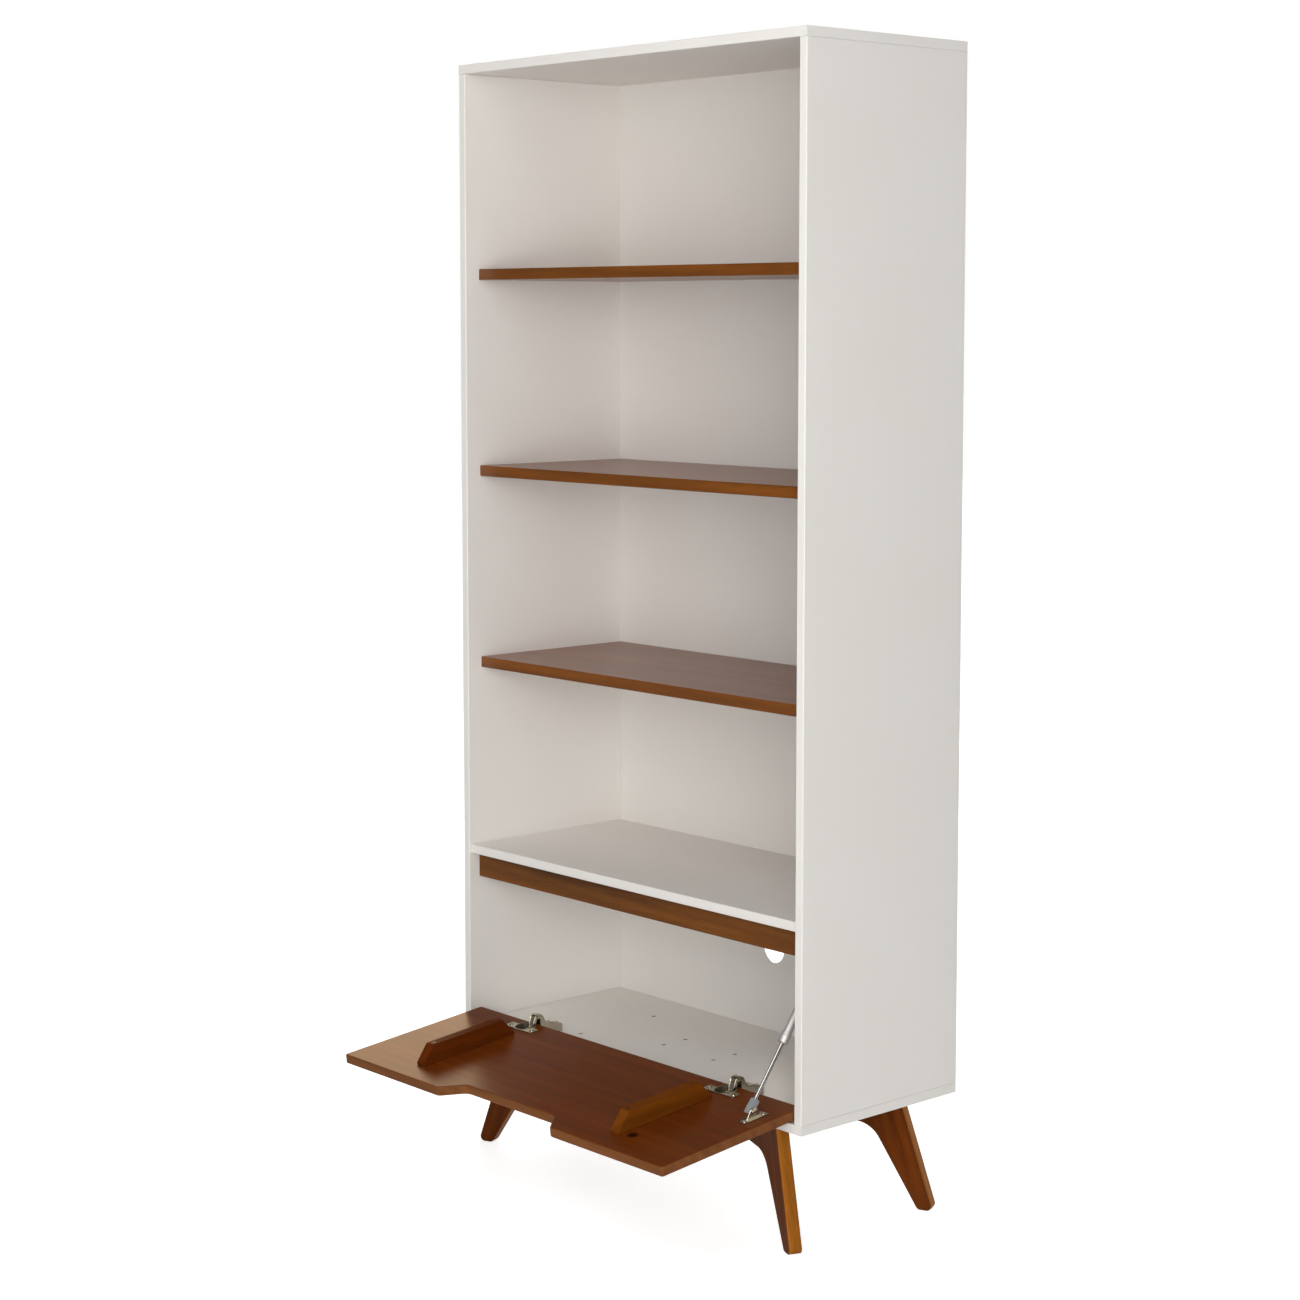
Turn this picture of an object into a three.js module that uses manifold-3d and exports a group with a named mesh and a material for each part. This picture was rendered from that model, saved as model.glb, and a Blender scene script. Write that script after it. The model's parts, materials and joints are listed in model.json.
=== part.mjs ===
// A tall open bookcase with a flap cabinet at the bottom.
// The case is white lacquered board. Three stained shelves stand above a white fixed shelf, and under
// that a stained flap drops open on two concealed hinges and hangs on one gas strut. The case stands on
// two boards that cross under it, with a splayed leg at each end.
// Millimetres, +X to the right seen from the front, +Y to the back, +Z up.
// The flap is modelled open, and the origin is on the floor in the middle of what the bookcase covers.

import * as THREE from 'three';
import { mergeVertices } from 'three/addons/utils/BufferGeometryUtils.js';
import Module from 'manifold-3d';

const wasm = await Module();
wasm.setup();

// Case
const CASE_WIDTH = 800;
const CASE_DEPTH = 335; // the sides, from front edge to rear edge
const CASE_HEIGHT = 1603;
const PANEL = 15; // every white board
const PANEL_EASE = 1.5; // rounding along the front edges
const BACK_PANEL = 3;
const JOINT = 0.3; // gap between two pieces that meet
const CABLE_HOLE_RADIUS = 25;
const CABLE_HOLE_RISE = 140; // its centre above the bottom panel

// Shelves, with heights above the underside of the case
const SHELF = 18;
const SHELF_SETBACK = 27.5;
const SHELF_EASE = 1.5;
const LOWER_SHELF_TOP = 631;
const MIDDLE_SHELF_TOP = 950;
const UPPER_SHELF_TOP = 1273;
const FIXED_SHELF_TOP = 316;
const FIXED_SHELF_SETBACK = 5;

// Crossed base
const LEG_HEIGHT = 190;
const BASE_BOARD = 21; // thickness of the legs and the crossed rails
const BASE_EASE = 1.5;
const LEG_INSET_X = 80; // from the side of the case to the top of a leg's outer edge
const LEG_INSET_Y = 38.5; // from the front or rear edge of the sides to the same point
const LEG_SPLAY = 61; // how far the outer edge runs out on its way down
const FOOT_WIDTH = 25.5;
const FOOT_ROUND = 8;
const BASE_RAIL_HEIGHT = 62;
const LEG_SHOULDER = 43; // from the outer top to where the inner edge would meet the rail
const FLARE_RADIUS = 46;
const LEG_HEEL = 100; // from the outer top to the joint with the rail
const TENON = 7;
const TENON_HEIGHT = 36;
const TENON_LENGTH = 20;
const BASE_SCREW_FROM_CROSSING = 63.5; // the inner screws, along a rail
const BASE_SCREW_FROM_LEG = 28.5; // the outer screws, along a rail

// Flap
const FLAP = 15;
const FLAP_EASE = 2;
const FLAP_SIDE_GAP = 2;
const FLAP_BOTTOM_GAP = 2.5;
const FLAP_TOP_GAP = 1.5;
const FLAP_CORNER = 4.5;
const FLAP_OPEN_DEGREES = 96;
const GRIP_WIDTH = 272; // finger cut-out, at the free edge
const GRIP_FLOOR = 212; // finger cut-out, at its bottom
const GRIP_DEPTH = 35;
const GRIP_TIP = 11;
const GRIP_ROUND = 22;

// Rail that the closed flap rests against
const STOP_RAIL = 18;
const STOP_RAIL_HEIGHT = 41;
const STOP_CLEARANCE = 0.7;

// Battens that stiffen the flap
const BATTEN_WIDTH = 18;
const BATTEN_HEIGHT = 30;
const BATTEN_LENGTH = 186;
const BATTEN_FROM_EDGE = 54;
const BATTEN_FROM_END = 148; // from the end of the flap to the middle of a batten
const BATTEN_RAMP = 22;
const BATTEN_LIP = 4; // upright part of a batten's end
const BATTEN_EASE = 1;
const BATTEN_SCREW_INSET = 30;

// Screws
const BATTEN_SCREW = { head: 3.8, sink: 3, shank: 1.8, length: 38 };
const BASE_SCREW = { head: 4, sink: 3.4, shank: 2.2, length: 48 };
const SCREW_TIP = 5;
const SCREW_BELOW = 0.2; // how deep a head sits under the face
const OVERRUN = 5; // how far a cutter runs past a face

// Concealed hinges
const HINGE_FROM_END = 144; // from the end of the flap to the middle of a cup
const PIVOT_DEPTH = 8; // under the inner face of the flap
const PIVOT_FROM_EDGE = 10;
const CUP_FROM_EDGE = 21;
const CUP_RADIUS = 17.3;
const CUP_WALL = 0.8;
const CUP_DEPTH = 12;
const FLANGE = 1.2;
const FLANGE_LENGTH = 68;
const FLANGE_WIDTH = 18;
const FLANGE_SHIFT = 8.5; // from the cup's middle to the flange's, away from the hinge edge
const FLANGE_ROUND = 4;
const RIM_RADIUS = 18.3;
const HINGE_PIN_RADIUS = 1.3;
const HINGE_PIN_LENGTH = 19.2;
const CHEEK = 1.2;
const CHEEK_SPACING = 15.2; // between the two cheeks that hold the pin in the cup
const CHEEK_REACH = 3.4;
const KNUCKLE_RADIUS = 2.9;
const KNUCKLE_WIDTH = 14.4;
const NECK = 2;
const NECK_WIDTH = 13;
const NECK_DEGREES = 78;
const ARM_WIDTH = 15;
const ARM_WALL = 1.2;
const HUMP_FRONT = 5.5; // the next nine are measured from the pivot
const HUMP_TOP = 24.5;
const HUMP_LIP = 17.5; // the lower edge of the hump's cheeks and front
const HUMP_BACK = 24;
const SHOULDER_FRONT = 14; // where the cheeks come down behind the flap's edge
const SHANK_FRONT = 30;
const SHANK_FRONT_RISE = 8;
const ARM_END = 61;
const ARM_END_RISE = 1;
const HUMP_FRONT_ROUND = 5;
const HUMP_BACK_ROUND = 12;
const HUMP_UNDER_ROUND = 3;
const SHANK_ROUND = 5;
const ARM_END_ROUND = 1.5;
const NECK_BEND = 3;
const PLATE = 1.7;
const PLATE_ROUND = 3;
const WING_SPAN = 46;
const WING_WIDTH = 13;
const WING_FROM_PIVOT = 40;
const PLATE_END_MARGIN = 2;

// Gas strut
const STRUT_FROM_SIDE = 34.5; // its axis, from the right side panel
const STRUT_LENGTH = 245; // between its pivots, flap open
const STRUT_DEGREES = 53.5; // above level, flap open
const STRUT_FOOT_FROM_EDGE = 76; // its pivot on the flap, from the hinge edge
const STRUT_FOOT_RISE = 12; // and above the flap's inner face
const ROD_RADIUS = 3;
const RUNNING = 0.3; // clearance round a rod or a pin
const SOCKET_WIDTH = 10;
const SOCKET_ROUND = 6.5; // half its depth, and its rounded end
const SOCKET_REACH = 18; // beyond the pivot
const SOCKET_TAPER = 0.5;
const ROD_SEAT = 8.3; // the rod's end, beyond the pivot
const TUBE_RADIUS = 6.5;
const TUBE_WALL = 1.1;
const TUBE_LIP = 1.2;
const STRUT_SPARE = 1.7; // left between the collar and the socket, flap closed
const GLAND_LENGTH = 10;
const PISTON_LENGTH = 6;
const COLLAR_LENGTH = 17;
const COLLAR_RADIUS = 7.5;
const COLLAR_FLOOR = 1.2;
const COLLAR_EASE = 0.6;
const EYE_RADIUS = 8;
const EYE_REACH = 15; // from its pivot to the tube
const EYE_SPIGOT = 7;
const LUG = 2;
const LUG_FOOT = 30;
const LUG_ROUND = 5;
const LUG_FROM_SOCKET = 0.5;
const FOOT_PLATE = 1.5;
const FOOT_PLATE_LENGTH = 48;
const FOOT_PLATE_WIDTH = 16;
const FOOT_PLATE_ROUND = 3;
const STRUT_PIN_RADIUS = 3;
const STRUT_PIN_HEAD = 4.5;
const STRUT_PIN_HEAD_HEIGHT = 1.5;
const STRUT_PIN_TAIL = 1.5;
const SIDE_PLATE = 2;
const SIDE_PLATE_LENGTH = 46;
const SIDE_PLATE_WIDTH = 18;
const STUD_RADIUS = 5;
const STUD_FOOT_RADIUS = 8;
const STUD_FOOT_HEIGHT = 3;

// Facets
const ARC_STEPS = 3;
const FINE_ARC_STEPS = 6;
const EASE_STEPS = 2;
const FINE_EASE_STEPS = 3;
const FINE_STEPS = 32;
const ROUND_STEPS = 20;
const SMALL_STEPS = 12;
const WELD = 0.001;

const LACQUER = { color: 0xe8e6e3, roughness: 0.4, metalness: 0 };
const STAINED_WOOD = { color: 0x7a4220, roughness: 0.45, metalness: 0 };
const NICKEL = { color: 0xb9b4a6, roughness: 0.3, metalness: 1 };
const BRIGHT_STEEL = { color: 0xdcdcdc, roughness: 0.12, metalness: 1 };
const GREY_PLASTIC = { color: 0x8c9092, roughness: 0.5, metalness: 0 };
const BLACK_PLASTIC = { color: 0x1f1f20, roughness: 0.5, metalness: 0 };
const SCREW_STEEL = { color: 0x8d8878, roughness: 0.4, metalness: 1 };

// A closed geometry as a solid that can be joined and cut.
function solidFrom(geometry) {
  const bare = geometry.clone();
  bare.deleteAttribute('normal');
  bare.deleteAttribute('uv');
  const welded = mergeVertices(bare, WELD);
  const kept = [];
  for (let i = 0; i < welded.index.count; i += 3) {
    const triangle = [0, 1, 2].map((corner) => welded.index.getX(i + corner));
    if (new Set(triangle).size === triangle.length) kept.push(...triangle);
  }
  return new wasm.Manifold(
    new wasm.Mesh({
      numProp: 3,
      vertProperties: welded.attributes.position.array,
      triVerts: new Uint32Array(kept),
    }),
  );
}

function geometryFrom(solid) {
  const { vertProperties, triVerts } = solid.getMesh();
  const indexed = new THREE.BufferGeometry();
  indexed.setAttribute('position', new THREE.BufferAttribute(vertProperties, 3));
  indexed.setIndex(new THREE.BufferAttribute(triVerts, 1));
  const geometry = indexed.toNonIndexed();
  geometry.computeVertexNormals();
  return geometry;
}

function piece(name, solid, finish) {
  const mesh = new THREE.Mesh(geometryFrom(solid), new THREE.MeshStandardMaterial(finish));
  mesh.name = name;
  return mesh;
}

const join = (first, ...others) => others.reduce((whole, other) => whole.add(other), first);
const cut = (first, ...tools) => tools.reduce((whole, tool) => whole.subtract(tool), first);

// A closed outline through corners [u, v, radius], each rounded by an arc that touches both its sides.
function outline(corners) {
  const shape = new THREE.Shape();
  corners.forEach(([u, v, radius = 0], i) => {
    const corner = new THREE.Vector2(u, v);
    const [beforeU, beforeV] = corners[(i + corners.length - 1) % corners.length];
    const [afterU, afterV] = corners[(i + 1) % corners.length];
    const back = new THREE.Vector2(beforeU, beforeV).sub(corner).normalize();
    const ahead = new THREE.Vector2(afterU, afterV).sub(corner).normalize();
    if (radius === 0) {
      if (i === 0) shape.moveTo(u, v);
      else shape.lineTo(u, v);
      return;
    }
    const half = Math.acos(THREE.MathUtils.clamp(back.dot(ahead), -1, 1)) / 2;
    const start = corner.clone().addScaledVector(back, radius / Math.tan(half));
    const end = corner.clone().addScaledVector(ahead, radius / Math.tan(half));
    const bisector = back.clone().add(ahead).normalize();
    const centre = corner.clone().addScaledVector(bisector, radius / Math.sin(half));
    const from = start.clone().sub(centre).angle();
    const to = end.clone().sub(centre).angle();
    if (i === 0) shape.moveTo(start.x, start.y);
    shape.absarc(centre.x, centre.y, radius, from, to, back.cross(ahead) > 0);
  });
  return shape;
}

const rectangle = (u0, u1, v0, v1, radius = 0) => [
  [u0, v0, radius],
  [u1, v0, radius],
  [u1, v1, radius],
  [u0, v1, radius],
];

// The same corners with every side moved inwards, for an outline that runs anticlockwise.
function inset(corners, distance) {
  const sides = corners.map(([u, v], i) => {
    const [nextU, nextV] = corners[(i + 1) % corners.length];
    const along = new THREE.Vector2(nextU - u, nextV - v).normalize();
    return { along, point: new THREE.Vector2(u - along.y * distance, v + along.x * distance) };
  });
  return corners.map(([, , radius = 0], i) => {
    const before = sides[(i + sides.length - 1) % sides.length];
    const after = sides[i];
    const offset = after.point.clone().sub(before.point);
    const reach = offset.cross(after.along) / before.along.cross(after.along);
    const corner = before.point.clone().addScaledVector(before.along, reach);
    return [corner.x, corner.y, radius];
  });
}

// A plate: corners in (y, z) for axis x, in (x, z) for axis y and in (x, y) for axis z.
function plate(axis, corners, low, high, ease = 0, fine = false) {
  const geometry = new THREE.ExtrudeGeometry(outline(corners), {
    depth: high - low - 2 * ease,
    curveSegments: fine ? FINE_ARC_STEPS : ARC_STEPS,
    bevelEnabled: ease > 0,
    bevelThickness: ease,
    bevelSize: ease,
    bevelOffset: -ease,
    bevelSegments: fine ? FINE_EASE_STEPS : EASE_STEPS,
  });
  geometry.translate(0, 0, ease);
  if (axis === 'x') geometry.rotateX(Math.PI / 2).rotateZ(Math.PI / 2).translate(low, 0, 0);
  if (axis === 'y') geometry.rotateX(Math.PI / 2).translate(0, high, 0);
  if (axis === 'z') geometry.translate(0, 0, low);
  return solidFrom(geometry);
}

function block(x0, x1, y0, y1, z0, z1) {
  return plate('x', rectangle(y0, y1, z0, z1), x0, x1);
}

// Turns a geometry made round the y axis so that it stands round the named axis.
function stand(geometry, axis) {
  if (axis === 'x') geometry.rotateZ(-Math.PI / 2);
  if (axis === 'z') geometry.rotateX(Math.PI / 2);
  return geometry;
}

function drum(axis, radius, low, high, steps = ROUND_STEPS) {
  const geometry = new THREE.CylinderGeometry(radius, radius, high - low, steps);
  geometry.translate(0, (low + high) / 2, 0);
  return solidFrom(stand(geometry, axis));
}

// A turned piece: profile [radius, height], from the axis at the bottom to the axis at the top.
function turned(axis, profile, steps = ROUND_STEPS) {
  const points = profile.map(([radius, height]) => new THREE.Vector2(radius, height));
  return solidFrom(stand(new THREE.LatheGeometry(points, steps), axis));
}

// A ring round the named axis.
function ring(axis, inner, outer, low, high, steps = ROUND_STEPS) {
  const profile = [
    [inner, low],
    [outer, low],
    [outer, high],
    [inner, high],
    [inner, low],
  ];
  return turned(axis, profile, steps);
}

// A countersunk wood screw that points down its axis, head at zero. Grown, it is the hole for itself.
function screw(axis, { head, sink, shank, length }, grow = 0) {
  const top = grow > 0 ? OVERRUN : 0;
  return turned(
    axis,
    [
      [0, -length - grow],
      [shank + grow, -length + SCREW_TIP],
      [shank + grow, -sink],
      [head + grow, 0],
      [head + grow, top + grow],
      [0, top + grow],
    ],
    SMALL_STEPS,
  );
}

// Heights, faces and places that the pieces share
const halfWidth = CASE_WIDTH / 2;
const innerHalf = halfWidth - PANEL;
const caseFloor = LEG_HEIGHT + PANEL;
const caseRear = CASE_DEPTH + JOINT + BACK_PANEL;
const boardRear = CASE_DEPTH;
const fixedShelfUnder = LEG_HEIGHT + FIXED_SHELF_TOP - PANEL;
const flapInnerFace = FIXED_SHELF_SETBACK + FLAP;
const flapBottom = caseFloor + FLAP_BOTTOM_GAP;
const flapLength = fixedShelfUnder - FLAP_TOP_GAP - flapBottom;
const flapReach = innerHalf - FLAP_SIDE_GAP;
const hingeOffset = flapReach - HINGE_FROM_END;
const battenOffset = flapReach - BATTEN_FROM_END;
const strutOffset = innerHalf - STRUT_FROM_SIDE;

// The hinge axis, and the flap's own frame round it: y from the axis to the back and z up the flap
const pivot = new THREE.Vector2(flapInnerFace - PIVOT_DEPTH, flapBottom + PIVOT_FROM_EDGE);
const hingeEdge = -PIVOT_FROM_EDGE;
const freeEdge = hingeEdge + flapLength;
const innerFace = PIVOT_DEPTH;
const openTurn = THREE.MathUtils.degToRad(FLAP_OPEN_DEGREES);

// White boards of the case
function eased(y0, y1, z0, z1) {
  return [
    [y0, z0, PANEL_EASE],
    [y1, z0],
    [y1, z1],
    [y0, z1, PANEL_EASE],
  ];
}

function topPanel() {
  const top = LEG_HEIGHT + CASE_HEIGHT;
  return plate('x', eased(0, caseRear, top - PANEL, top), -halfWidth, halfWidth);
}

// The crossed rails lie under the two diagonals of the case.
const legTop = new THREE.Vector2(halfWidth - LEG_INSET_X, CASE_DEPTH / 2 - LEG_INSET_Y);
const diagonal = legTop.angle();
const legShoulder = legTop.length() - LEG_HEEL;
const farScrew = legShoulder - BASE_SCREW_FROM_LEG;
const screwPlaces = [-farScrew, -BASE_SCREW_FROM_CROSSING, BASE_SCREW_FROM_CROSSING, farScrew];
const railTurns = { rising: diagonal, falling: -diagonal };

function baseScrewSpot(turn, place) {
  const head = caseFloor - SCREW_BELOW;
  return [place * Math.cos(turn), CASE_DEPTH / 2 + place * Math.sin(turn), head];
}

function bottomPanel() {
  const board = plate('x', eased(0, caseRear, LEG_HEIGHT, caseFloor), -halfWidth, halfWidth);
  const holes = Object.values(railTurns).flatMap((turn) =>
    screwPlaces.map((place) => screw('z', BASE_SCREW, RUNNING).translate(baseScrewSpot(turn, place))),
  );
  return cut(board, ...holes);
}

function sidePanel(side) {
  const inner = side * innerHalf;
  const outer = side * halfWidth;
  const corners = [
    [inner, 0, PANEL_EASE],
    [outer, 0, PANEL_EASE],
    [outer, CASE_DEPTH],
    [inner, CASE_DEPTH],
  ];
  return plate('z', corners, caseFloor + JOINT, LEG_HEIGHT + CASE_HEIGHT - PANEL - JOINT);
}

function backPanel() {
  const low = caseFloor + JOINT;
  const high = LEG_HEIGHT + CASE_HEIGHT - PANEL - JOINT;
  const front = CASE_DEPTH + JOINT;
  const board = plate('y', rectangle(-halfWidth, halfWidth, low, high), front, front + BACK_PANEL);
  const hole = drum('y', CABLE_HOLE_RADIUS, front - OVERRUN, caseRear + OVERRUN, FINE_STEPS);
  return cut(board, hole.translate([0, 0, caseFloor + CABLE_HOLE_RISE]));
}

function shelf(top, setback, thickness, ease) {
  const reach = innerHalf - JOINT;
  const corners = [
    [setback, top - thickness, ease],
    [boardRear, top - thickness],
    [boardRear, top],
    [setback, top, ease],
  ];
  return plate('x', corners, -reach, reach);
}

function stopRail() {
  const reach = innerHalf - JOINT;
  const front = flapInnerFace + STOP_CLEARANCE;
  const top = fixedShelfUnder - JOINT;
  const corners = [
    [front, top - STOP_RAIL_HEIGHT, SHELF_EASE],
    [front + STOP_RAIL, top - STOP_RAIL_HEIGHT, SHELF_EASE],
    [front + STOP_RAIL, top],
    [front, top],
  ];
  return plate('x', corners, -reach, reach);
}

// One leg in its own frame: x outwards from the crossing, z up, level with the underside of the case.
function leg() {
  const outer = legTop.length();
  const foot = outer + LEG_SPLAY;
  const corners = [
    [outer, -JOINT],
    [legShoulder, -JOINT],
    [legShoulder, -BASE_RAIL_HEIGHT],
    [outer - LEG_SHOULDER, -BASE_RAIL_HEIGHT, FLARE_RADIUS],
    [foot - FOOT_WIDTH, -LEG_HEIGHT, FOOT_ROUND],
    [foot, -LEG_HEIGHT, FOOT_ROUND],
  ];
  const board = plate('y', corners, -BASE_BOARD / 2, BASE_BOARD / 2, BASE_EASE, true);
  return cut(board, tenon(legShoulder, JOINT));
}

// The tenon at a rail's end, or its mortise where it is grown.
function tenon(shoulder, grow = 0) {
  const middle = -(JOINT + BASE_RAIL_HEIGHT) / 2;
  const half = TENON / 2 + grow;
  const rise = TENON_HEIGHT / 2 + grow;
  const start = shoulder - OVERRUN;
  return block(start, shoulder + TENON_LENGTH + grow, -half, half, middle - rise, middle + rise);
}

// A crossed rail in the same frame as its legs. Half its height is cut away where the other rail crosses.
function crossRail(turn, notchLow, notchHigh) {
  const shoulder = legShoulder - JOINT;
  const half = BASE_BOARD / 2;
  const corners = rectangle(-shoulder, shoulder, -BASE_RAIL_HEIGHT, -JOINT);
  const board = plate('y', corners, -half, half, BASE_EASE);
  const notchHalf = half + JOINT;
  const notch = block(-shoulder, shoulder, -notchHalf, notchHalf, notchLow, notchHigh);
  const crossing = THREE.MathUtils.radToDeg(-2 * turn);
  const otherEnd = tenon(shoulder).rotate([0, 0, 180]);
  const body = cut(join(board, tenon(shoulder), otherEnd), notch.rotate([0, 0, crossing]));
  const holes = screwPlaces.map((place) =>
    screw('z', BASE_SCREW, RUNNING).translate([place, 0, PANEL - SCREW_BELOW]),
  );
  return cut(body, ...holes);
}

function crossedBase() {
  const base = new THREE.Group();
  const place = (mesh, turn) => {
    mesh.position.set(0, CASE_DEPTH / 2, LEG_HEIGHT);
    mesh.rotation.z = turn;
    base.add(mesh);
  };
  place(piece('leg_front_right', leg(), STAINED_WOOD), -diagonal);
  place(piece('leg_rear_right', leg(), STAINED_WOOD), diagonal);
  place(piece('leg_front_left', leg(), STAINED_WOOD), diagonal - Math.PI);
  place(piece('leg_rear_left', leg(), STAINED_WOOD), Math.PI - diagonal);
  const middle = -(JOINT + BASE_RAIL_HEIGHT) / 2;
  const halfGap = JOINT / 2;
  const rising = crossRail(railTurns.rising, middle - halfGap, OVERRUN);
  const falling = crossRail(railTurns.falling, -BASE_RAIL_HEIGHT - OVERRUN, middle + halfGap);
  place(piece('cross_rail_rising', rising, STAINED_WOOD), railTurns.rising);
  place(piece('cross_rail_falling', falling, STAINED_WOOD), railTurns.falling);
  for (const [name, turn] of Object.entries(railTurns)) {
    screwPlaces.forEach((spot, i) => {
      const mesh = piece(`base_screw_${name}_${i + 1}`, screw('z', BASE_SCREW), SCREW_STEEL);
      mesh.position.set(...baseScrewSpot(turn, spot));
      base.add(mesh);
    });
  }
  return base;
}

function caseBoards() {
  const boards = new THREE.Group();
  boards.add(piece('top_panel', topPanel(), LACQUER));
  boards.add(piece('bottom_panel', bottomPanel(), LACQUER));
  boards.add(piece('side_panel_left', sidePanel(-1), LACQUER));
  boards.add(piece('side_panel_right', sidePanel(1), LACQUER));
  boards.add(piece('back_panel', backPanel(), LACQUER));
  const fixed = shelf(LEG_HEIGHT + FIXED_SHELF_TOP, FIXED_SHELF_SETBACK, PANEL, PANEL_EASE);
  boards.add(piece('fixed_shelf', fixed, LACQUER));
  boards.add(piece('flap_stop_rail', stopRail(), STAINED_WOOD));
  const tops = { lower: LOWER_SHELF_TOP, middle: MIDDLE_SHELF_TOP, upper: UPPER_SHELF_TOP };
  for (const [name, top] of Object.entries(tops)) {
    const board = shelf(LEG_HEIGHT + top, SHELF_SETBACK, SHELF, SHELF_EASE);
    boards.add(piece(`shelf_${name}`, board, STAINED_WOOD));
  }
  return boards;
}

// The flap's board in the flap's frame, closed: the finger cut-out is in its free edge.
function flapBoard() {
  const mouth = GRIP_WIDTH / 2;
  const floor = GRIP_FLOOR / 2;
  const corners = [
    [-flapReach, hingeEdge, FLAP_CORNER],
    [flapReach, hingeEdge, FLAP_CORNER],
    [flapReach, freeEdge, FLAP_CORNER],
    [mouth, freeEdge, GRIP_TIP],
    [floor, freeEdge - GRIP_DEPTH, GRIP_ROUND],
    [-floor, freeEdge - GRIP_DEPTH, GRIP_ROUND],
    [-mouth, freeEdge, GRIP_TIP],
    [-flapReach, freeEdge, FLAP_CORNER],
  ];
  const board = plate('y', corners, innerFace - FLAP, innerFace, FLAP_EASE, true);
  const pocketFloor = innerFace - CUP_DEPTH - JOINT;
  const pocket = drum('y', CUP_RADIUS + JOINT, pocketFloor, innerFace + OVERRUN, FINE_STEPS);
  const pockets = [-hingeOffset, hingeOffset].map((x) => pocket.translate([x, 0, cupMiddle]));
  const holes = battenScrewSpots().map((spot) => screw('y', BATTEN_SCREW, RUNNING).translate(spot));
  return cut(board, ...pockets, ...holes);
}

const cupMiddle = hingeEdge + CUP_FROM_EDGE;
const battenStart = hingeEdge + BATTEN_FROM_EDGE;
const battenTop = innerFace + JOINT + BATTEN_HEIGHT;

function battenScrewSpots() {
  const ends = [battenStart + BATTEN_SCREW_INSET, battenStart + BATTEN_LENGTH - BATTEN_SCREW_INSET];
  return [-battenOffset, battenOffset].flatMap((x) => ends.map((z) => [x, battenTop - SCREW_BELOW, z]));
}

function batten(x) {
  const foot = innerFace + JOINT;
  const end = battenStart + BATTEN_LENGTH;
  const corners = [
    [foot, battenStart],
    [foot + BATTEN_LIP, battenStart],
    [battenTop, battenStart + BATTEN_RAMP],
    [battenTop, end - BATTEN_RAMP],
    [foot + BATTEN_LIP, end],
    [foot, end],
  ];
  const bar = plate('x', corners, x - BATTEN_WIDTH / 2, x + BATTEN_WIDTH / 2, BATTEN_EASE);
  const holes = battenScrewSpots().map((spot) => screw('y', BATTEN_SCREW, RUNNING).translate(spot));
  return cut(bar, ...holes);
}

// The steel cup in the flap, with its flange on the face and two cheeks inside that hold the pin.
function hingeCup(x) {
  const back = innerFace - CUP_DEPTH;
  const seat = innerFace + JOINT;
  const face = seat + FLANGE;
  const middle = [x, 0, cupMiddle];
  const shell = drum('y', CUP_RADIUS, back, face, FINE_STEPS).translate(middle);
  const rim = drum('y', RIM_RADIUS, seat, face, FINE_STEPS).translate(middle);
  const earMiddle = cupMiddle + FLANGE_SHIFT;
  const earHalf = FLANGE_LENGTH / 2;
  const earRise = FLANGE_WIDTH / 2;
  const earLow = earMiddle - earRise;
  const earHigh = earMiddle + earRise;
  const ears = plate('y', rectangle(x - earHalf, x + earHalf, earLow, earHigh, FLANGE_ROUND), seat, face);
  const hollow = drum('y', CUP_RADIUS - CUP_WALL, back + CUP_WALL, face + OVERRUN, FINE_STEPS);
  const cup = cut(join(shell, rim, ears), hollow.translate(middle));
  const cheeks = [-1, 1].map((side) => {
    const near = x + (side * CHEEK_SPACING) / 2;
    const far = near + side * CHEEK;
    const left = Math.min(near, far);
    const right = Math.max(near, far);
    return block(left, right, back, CHEEK_REACH, -CHEEK_REACH, CHEEK_REACH);
  });
  const bore = HINGE_PIN_RADIUS + RUNNING;
  const boreHalf = CHEEK_SPACING / 2 + CHEEK + JOINT;
  return cut(join(cup, ...cheeks), drum('x', bore, x - boreHalf, x + boreHalf, SMALL_STEPS));
}

function hingePin(x) {
  const half = HINGE_PIN_LENGTH / 2;
  return drum('x', HINGE_PIN_RADIUS, x - half, x + half, SMALL_STEPS);
}

// Crest of the arm's pressed channel, from the pivot: a hump over the flap's edge, then a shank
// that slopes down to the rear. It is closed by a level line under it.
function armCrest() {
  const under = caseFloor + JOINT + PLATE + JOINT - pivot.y;
  return [
    [HUMP_FRONT, under],
    [ARM_END, under],
    [ARM_END, ARM_END_RISE, ARM_END_ROUND],
    [SHANK_FRONT, SHANK_FRONT_RISE, SHANK_ROUND],
    [HUMP_BACK, HUMP_TOP, HUMP_BACK_ROUND],
    [HUMP_FRONT, HUMP_TOP, HUMP_FRONT_ROUND],
  ];
}

// The cheeks' outline: under the hump they are cut away in front, so that they clear the flap.
function armCheek() {
  const [[, under], ...crest] = armCrest();
  const front = [
    [HUMP_FRONT, HUMP_LIP],
    [SHOULDER_FRONT, HUMP_LIP, HUMP_UNDER_ROUND],
    [SHOULDER_FRONT, under],
  ];
  return [...crest, ...front];
}

// The crest moved inwards and let run out below, for the channel's hollow and for what fills it
function armHollow(distance, low) {
  return inset(armCrest(), distance).map(([u, v, radius], i) => {
    const isBottom = i < 2;
    return [u, isBottom ? low : v, Math.max(radius - distance, 0)];
  });
}

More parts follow.
